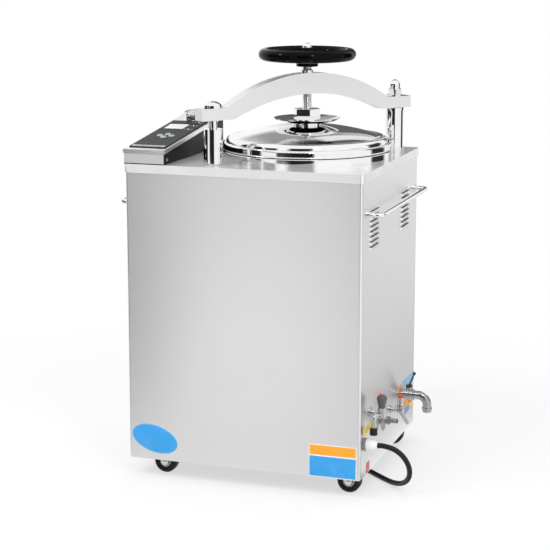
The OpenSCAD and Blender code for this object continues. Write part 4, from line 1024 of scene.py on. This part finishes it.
OVAL_PLACE = (-196.5, 86.5)
FRONT_PLACE = (197, 76.5)
YELLOW_PLACE = (-168, 137)
SKY_PLACE = (171.5, 151)
ORANGE_PLACE = (94, 153.5)
PATCH_PLACE = (178, 96)
RED_PLACE = (-164, 53)
OVAL_TURN = -14
LAYER_T = 0.16
LABEL_GAP = 0.02


def label(name, at, *layers):
    """Printed panel: a film and colour fields on it; each layer is (outline, colour)."""
    for k, (outline, color) in enumerate(layers):
        film(f"{name}_{k}", shifted(at, z=LABEL_GAP + LAYER_T * k), outline, color, LAYER_T)


def make_labels():
    label("label_oval", on_front(*OVAL_PLACE),
          (oval(53, 30, OVAL_TURN), "sky_blue"),
          (oval(51.4, 28.4, OVAL_TURN), "blue"))
    label("label_front", on_front(*FRONT_PLACE),
          (centred(102, 69, 1.5), "white"),
          (rounded(-49.5, 12.5, 49.5, 33, 1), "orange"),
          (rounded(-49.5, -33, 49.5, 9.5, 1), "blue"))
    label("label_yellow", on_side(*YELLOW_PLACE), (centred(70, 16, 1.2), "yellow"))
    label("label_sky", on_side(*SKY_PLACE), (centred(106, 21, 1.2), "sky_blue"))
    label("label_orange", on_side(*ORANGE_PLACE), (centred(33, 14, 1.2), "orange"))
    label("label_patch", on_side(*PATCH_PLACE),
          (rounded(-40, -17, 36, 17, 1.2), "orange"),
          (rounded(-39, -16, 4, -3, 0.8), "blue"),
          (rounded(-2, 1, 35, 16, 0.8), "red"),
          (rounded(6, -14, 34, -3, 0.8), "yellow"))
    label("label_red", on_side(*RED_PLACE), (centred(26, 22, 1), "red"))


make_labels()


# Small fasteners and trim on the cabinet, the fittings and the casters

SCREW_HEAD_R = 3.4
SCREW_HEAD_H = 1.9
SCREW_HEAD_SHAPE = [
    (0.0, 1.0), (0.25, 1.0), (0.42, 1.0), (0.5, 0.98), (0.62, 0.93), (0.8, 0.72), (0.93, 0.4),
    (1.0, 0.15), (1.0, 0.0)]
SCREW_HEAD_STEPS = 40
CROSS_HALF_W = 0.13
CROSS_REACH = 0.6
CROSS_DEPTH = 0.45
BACK_SCREW_IN = 16
BACK_SCREW_UP = 22
BACK_SCREW_DOWN = 30


def add_screw(bm, at):
    """Pan head with a cross recess; its shape is in shares of its radius and height."""
    rings = []
    for share, level in SCREW_HEAD_SHAPE:
        ring = []
        for k in range(SCREW_HEAD_STEPS if share else 1):
            a = 2 * math.pi * k / SCREW_HEAD_STEPS
            x, y = share * math.cos(a), share * math.sin(a)
            in_cross = min(abs(x), abs(y)) < CROSS_HALF_W and share < CROSS_REACH
            z = level - CROSS_DEPTH if in_cross else level
            ring.append(add_point(bm, at, x * SCREW_HEAD_R, y * SCREW_HEAD_R, z * SCREW_HEAD_H))
        rings.append(ring)
    add_solid(bm, rings)


def make_back_screws():
    """Screws round the back panel's edge."""
    bm = bmesh.new()
    low, high = PANEL_LOW.z + BACK_SCREW_UP, PANEL_HIGH.z - BACK_SCREW_DOWN
    half_way = (low + high) / 2
    for x in (BACK_SCREW_IN - HALF_W, 0, HALF_W - BACK_SCREW_IN):
        for z in (low, half_way, high):
            if x or z != half_way:
                add_screw(bm, on_back(x, z))
    link_mesh("back_screws", bm, MATS["screw_steel"], "cabinet")


KNOB_DOT_PROFILE = [(0, -1.2), (4.6, -1.2), (4.6, -0.1), (4.2, 0.35), (2.4, 0.6), (0, 0.65)]
VENT_TIP_AT = (269.9, -175.0)
TIP_SLEEVE_PROFILE = [
    (7.3, 0.2), (8.0, 0.2), (8.3, 0.8), (8.3, 2.6), (7.9, 3.0), (7.9, 12.4), (8.3, 12.8), (8.3, 14.6),
    (7.9, 15.2), (7.3, 15.2)]
TIP_END_PROFILE = [(4.6, 0.1), (7.5, 0.1), (7.5, -0.5), (4.6, -0.5)]
SAFETY_VALVE_OUT = 24
SAFETY_VALVE_Y = 10
SAFETY_CAP_PROFILE = [
    (0, 0.9), (4.8, 0.7), (6.2, 0.0), (6.6, -1.0), (6.6, -4.6), (6.1, -4.6), (6.1, -0.4), (0, -0.2)]


def make_knob_dot():
    """Red button on the vent knob."""
    mid = middle("vent_knob")
    at = upright(mid.x, mid.y, corners("vent_knob")[1].z)
    turned("vent_knob_dot", KNOB_DOT_PROFILE, at, INKS["red"], "vent_knob", 40)


def make_vent_tip():
    """Black rubber nozzle over the end of the vent pipe."""
    at = upright(*VENT_TIP_AT, corners("vent_valve")[0].z)
    bm = bmesh.new()
    add_revolve(bm, TIP_SLEEVE_PROFILE, at, 40)
    add_revolve(bm, TIP_END_PROFILE, at, 40)
    link_mesh("vent_tip_sleeve", bm, MATS["plug_black"], "cabinet")


def make_valve_cap():
    """Red cap over the top of the safety valve."""
    at = upright(HALF_W + SAFETY_VALVE_OUT, SAFETY_VALVE_Y, corners("safety_valve")[1].z)
    turned("safety_cap_red", SAFETY_CAP_PROFILE, at, INKS["red"], "cabinet", 40)


HUB_DISC_PROFILE = [
    (5.2, -2.4), (5.6, -1.0), (8.2, -1.2), (9.0, -0.4), (10.6, -0.4), (11.3, 0.1), (12.0, 0.1),
    (12.4, -0.6), (12.4, -2.4)]
AXLE_END_OUT = 3.5
AXLE_NUT_R = 5.4
AXLE_NUT_H = 2.6
AXLE_NUT_TURN = 15
NUT_DOME_PROFILE = [(0, 2.2), (3.3, 2.2), (3.3, 3.2), (2.6, 4.2), (1.4, 4.7), (0, 4.8)]


def make_caster_trim():
    """Hub discs in both faces of each wheel and cap nuts on the axle ends."""
    for c in ("fl", "fr", "bl", "br"):
        lo, hi = corners(f"caster_wheel_{c}")
        mid = (lo + hi) / 2
        half = (hi.y - lo.y) / 2
        discs, nuts = bmesh.new(), bmesh.new()
        for s in (-1, 1):
            face = axes((mid.x, mid.y + s * half, mid.z), (0, s, 0))
            add_revolve(discs, HUB_DISC_PROFILE, face)
            end = shifted(face, z=AXLE_END_OUT)
            add_prism(nuts, hexagon(AXLE_NUT_R, AXLE_NUT_TURN), end, AXLE_NUT_H, 0.5)
            add_revolve(nuts, NUT_DOME_PROFILE, end, 32)
        link_mesh(f"hub_discs_{c}", discs, HUB_GREY, f"caster_wheel_{c}")
        link_mesh(f"axle_nuts_{c}", nuts, MATS["screw_steel"], f"caster_fork_{c}", 30)


SEAM_PROUD = 0.35
SEAL_T = 1.6
# Thickness and drop of the black strip that paints the shadow in the gap under the cover plate
GAP_SHADE_T = 1.5
GAP_SHADE_DROP = 1.3


def make_box_seams():
    """Black foam seal under the control box, and a black strip under its cover plate's edge that paints
    the shadow in the gap there.
    """
    width = HOUSE_HIGH.x - HOUSE_LOW.x
    depth = HOUSE_HIGH.y - HOUSE_LOW.y
    bm = bmesh.new()
    seal = rounded(-SEAM_PROUD, -SEAM_PROUD, width + SEAM_PROUD, depth + SEAM_PROUD, 1.0)
    add_prism(bm, seal, upright(HOUSE_LOW.x, HOUSE_LOW.y, Z_TOP), SEAL_T)
    # Painted shadow: a black strip, a little proud of the box, under the cover plate's folded edge where
    # the gap is in shade
    gap_shade = rounded(-SEAM_PROUD, -SEAM_PROUD, width + SEAM_PROUD, depth / math.cos(SLOPE), 1.0)
    add_prism(bm, gap_shade, on_slope(w=CAP_T - CAP_EDGE - GAP_SHADE_DROP), GAP_SHADE_T)
    link_mesh("box_seams", bm, MATS["seal_rubber"], "cabinet")


make_box_seams()
make_back_screws()
make_knob_dot()
make_vent_tip()
make_valve_cap()
make_caster_trim()


# World and floor: the floor is pale near the object, where it holds the shadow, and white further out

WORLD_LIGHT = 0.55
WORLD_SEEN = 1.0
FLOOR_R = 14000
FLOOR_T = 20
FLOOR_TONE = 0.93
FLOOR_FADE = (0.45, 1.5)
FLOOR_WHITE_NEAR = 0.62
FLOOR_WHITE_IN_METAL = 0.92


def make_world():
    """White wherever the camera, a reflection or glass looks out, and softer as a light."""
    world = bpy.data.worlds.new("studio")
    bpy.context.scene.world = world
    world.use_nodes = True
    w = Nodes(world.node_tree)
    path = w.node("ShaderNodeLightPath").outputs
    seen = w.either(w.either(path["Is Camera Ray"], path["Is Glossy Ray"]), path["Is Transmission Ray"])
    back = w.node("ShaderNodeBackground", {"Color": (1, 1, 1, 1)})
    w.link(w.span(seen, (0.0, 1.0), (WORLD_LIGHT, WORLD_SEEN)), back.inputs["Strength"])
    w.link(back.outputs[0], w.node("ShaderNodeOutputWorld").inputs[0])


def make_floor():
    f = Finish("floor_pale")
    diffuse = f.node("ShaderNodeBsdfDiffuse", {"Color": (FLOOR_TONE, FLOOR_TONE, FLOOR_TONE, 1)})
    x, y = f.axis(0), f.axis(1)
    far = f.calc("SQRT", f.add(f.times(x, x), f.times(y, y)))
    fade = f.span(far, FLOOR_FADE, (FLOOR_WHITE_NEAR, 1.0), smooth=True)
    path = f.node("ShaderNodeLightPath").outputs
    seen = f.times(fade, path["Is Camera Ray"])
    f.glow_over(diffuse, f.either(seen, f.times(path["Is Glossy Ray"], FLOOR_WHITE_IN_METAL)), 1.0)
    profile = [(0, -FLOOR_T), (FLOOR_R, -FLOOR_T), (FLOOR_R, 0), (0, 0)]
    turned("floor", profile, Matrix.Identity(4), f.mat, None, 96)


make_world()
make_floor()


# Lamps, in metres and watts

def lamp(name, at, aim_z, size, power, mirrored=False):
    """Soft square lamp aimed at a height on the object; shiny surfaces show it only if mirrored."""
    li = bpy.data.lights.new(name, "AREA")
    li.shape = "SQUARE"
    li.size = size
    li.energy = power
    o = bpy.data.objects.new(name, li)
    bpy.context.scene.collection.objects.link(o)
    o.location = at
    o.rotation_euler = (Vector((0, 0, aim_z)) - Vector(at)).to_track_quat("-Z", "Y").to_euler()
    o.visible_glossy = mirrored
    o.visible_camera = False


lamp("key_lamp", (-1.8, -2.6, 3.4), aim_z=0.4, size=2.4, power=62)
lamp("fill_lamp", (2.9, -1.9, 2.0), aim_z=0.4, size=2.2, power=34)
lamp("top_lamp", (0.2, 1.2, 3.6), aim_z=0.5, size=2.6, power=30)
lamp("glint_front", (1.14, -1.70, 2.33), aim_z=0.9, size=0.22, power=9, mirrored=True)
lamp("glint_left", (-1.70, -1.14, 2.33), aim_z=0.9, size=0.22, power=9, mirrored=True)


# Studio cards, in metres: only reflections see them, and they give the metal its streaks and soft tones

CARD_STEPS = 24
ON_FLOOR = (0.004, 0.004)
SIDE_CARD_Z = 0.003


def between(ends, share):
    return ends[0] + (ends[1] - ends[0]) * share


def card(name, place, tint, fades, strength=1.0):
    """Card through the points that place(s, t) gives for shares of its width and height.

    fades are the shares of it that fade out, at its start, end, foot and head.
    """
    bm = bmesh.new()
    layer = bm.loops.layers.uv.new("card")
    grid = [[bm.verts.new(place(s / CARD_STEPS, t)) for t in (0.0, 1.0)] for s in range(CARD_STEPS + 1)]
    for s in range(CARD_STEPS):
        face = bm.faces.new((grid[s][0], grid[s + 1][0], grid[s + 1][1], grid[s][1]))
        for loop, (u, v) in zip(face.loops, ((s, 0), (s + 1, 0), (s + 1, 1), (s, 1))):
            loop[layer].uv = (u / CARD_STEPS, v)
    f = Finish(name)
    where = f.node("ShaderNodeTexCoord").outputs["UV"]
    solid = strength
    for axis, (start, end) in enumerate((fades[:2], fades[2:])):
        along = f.axis(axis, where)
        if start:
            solid = f.times(solid, f.span(along, (0.0, start), smooth=True))
        if end:
            solid = f.times(solid, f.span(along, (1.0, 1.0 - end), smooth=True))
    f.glow_over(f.node("ShaderNodeBsdfTransparent"), solid, tint)
    o = link_mesh(name, bm, f.mat, None)
    for ray in ("camera", "diffuse", "transmission", "shadow", "volume_scatter"):
        setattr(o, "visible_" + ray, False)


def standing_card(name, angles, heights, tint, fades, strength=1.0, radius=2.5):
    """Curved upright card round the object; its angles count from the camera's side, to the right."""
    def place(s, t):
        a = math.radians(-90 + CAMERA_TURN + between(angles, s))
        return (radius * math.cos(a), radius * math.sin(a), between(heights, t))
    card(name, place, tint, fades, strength)


def front_card(name, widths, depths, tint, fades, strength=1.0, heights=ON_FLOOR):
    """Card on the floor, or upright, that the front panel mirrors to the camera between two widths."""
    mirrored = Vector((CAMERA_AT[0], -2 * HALF_D * MM - CAMERA_AT[1]))

    def place(s, t):
        y = between(depths, t)
        reach = (mirrored.y - y) / (mirrored.y + HALF_D * MM)
        return (mirrored.x + (between(widths, s) - mirrored.x) * reach, y, between(heights, t))
    card(name, place, tint, fades, strength)


def side_floor_card(name, depths, reaches, tint, fades, strength):
    """Card on the floor that the right panel mirrors to the camera between two of its depths."""
    mirrored = Vector((2 * HALF_W * MM - CAMERA_AT[0], CAMERA_AT[1]))

    def place(s, t):
        x = between(reaches, t)
        reach = (x - mirrored.x) / (HALF_W * MM - mirrored.x)
        return (x, mirrored.y + (between(depths, s) - mirrored.y) * reach, SIDE_CARD_Z)
    card(name, place, tint, fades, strength)


def plain_floor_card(name, corner, along, away, tint, fades, strength):
    """Card on the floor from a corner along one side of the object and away from it."""
    def place(s, t):
        x, y = (c + a * s + b * t for c, a, b in zip(corner, along, away))
        return (x, y, SIDE_CARD_Z)
    card(name, place, tint, fades, strength)


standing_card("card_left", angles=(-108, -60), heights=(0.10, 2.6),
              tint=0.015, fades=(0.12, 0.10, 0.05, 0.35))
standing_card("card_front", angles=(-30, 12), heights=(0.10, 2.8),
              tint=0.015, fades=(0.25, 0.12, 0.05, 0.35))
standing_card("card_band", angles=(-42, -20), heights=(0.335, 0.62),
              tint=0.02, fades=(0.20, 0.1, 0.08, 0.25))
standing_card("card_right", angles=(90, 130), heights=(0.10, 2.2),
              tint=0.03, fades=(0.15, 0.25, 0.05, 0.35))
standing_card("card_back", angles=(138, 184), heights=(0.55, 3.1), radius=1.9,
              tint=0.08, fades=(0.25, 0.22, 0.10, 0.35), strength=0.95)
standing_card("card_beam", angles=(54, 82), heights=(0.46, 1.4),
              tint=0.30, fades=(0.4, 0.3, 0.15, 0.3), strength=0.3)
standing_card("card_dome", angles=(172, 198), heights=(1.25, 2.8), radius=1.9,
              tint=0.05, fades=(0.45, 0.40, 0.25, 0.25), strength=0.7)
standing_card("card_high", angles=(140, 205), heights=(2.2, 3.9), radius=1.9,
              tint=0.04, fades=(0.20, 0.20, 0.15, 0.20), strength=0.9)
front_card("floor_card_left", widths=(-1.10, -0.08), depths=(-0.30, -3.9),
           tint=0.05, fades=(0.0, 0.20, 0.22, 0.20), strength=0.95)
front_card("floor_card_low", widths=(-0.60, 1.10), depths=(-0.26, -1.3),
           tint=0.45, fades=(0.25, 0.0, 0.02, 0.75), strength=0.40)
front_card("wall_card_left", widths=(-1.20, -0.10), depths=(-6.0, -6.0), heights=(0.0, 4.4),
           tint=0.02, fades=(0.0, 0.18, 0.0, 0.25))
front_card("floor_card_right", widths=(0.02, 1.10), depths=(-0.30, -3.9),
           tint=0.45, fades=(0.35, 0.0, 0.02, 0.25), strength=0.6)
side_floor_card("floor_card_side", depths=(-0.9, 0.9), reaches=(0.30, 1.9),
                tint=0.45, fades=(0.2, 0.2, 0.02, 0.25), strength=0.7)
plain_floor_card("floor_card_back", corner=(-0.9, 0.30), along=(1.8, 0), away=(0, 2.2),
                 tint=0.45, fades=(0.3, 0.3, 0.05, 0.5), strength=0.7)
plain_floor_card("floor_card_far_side", corner=(-0.32, -0.9), along=(0, 1.8), away=(-2.0, 0),
                 tint=0.45, fades=(0.3, 0.3, 0.05, 0.5), strength=0.7)

scene = bpy.context.scene
scene.view_settings.view_transform = "Standard"
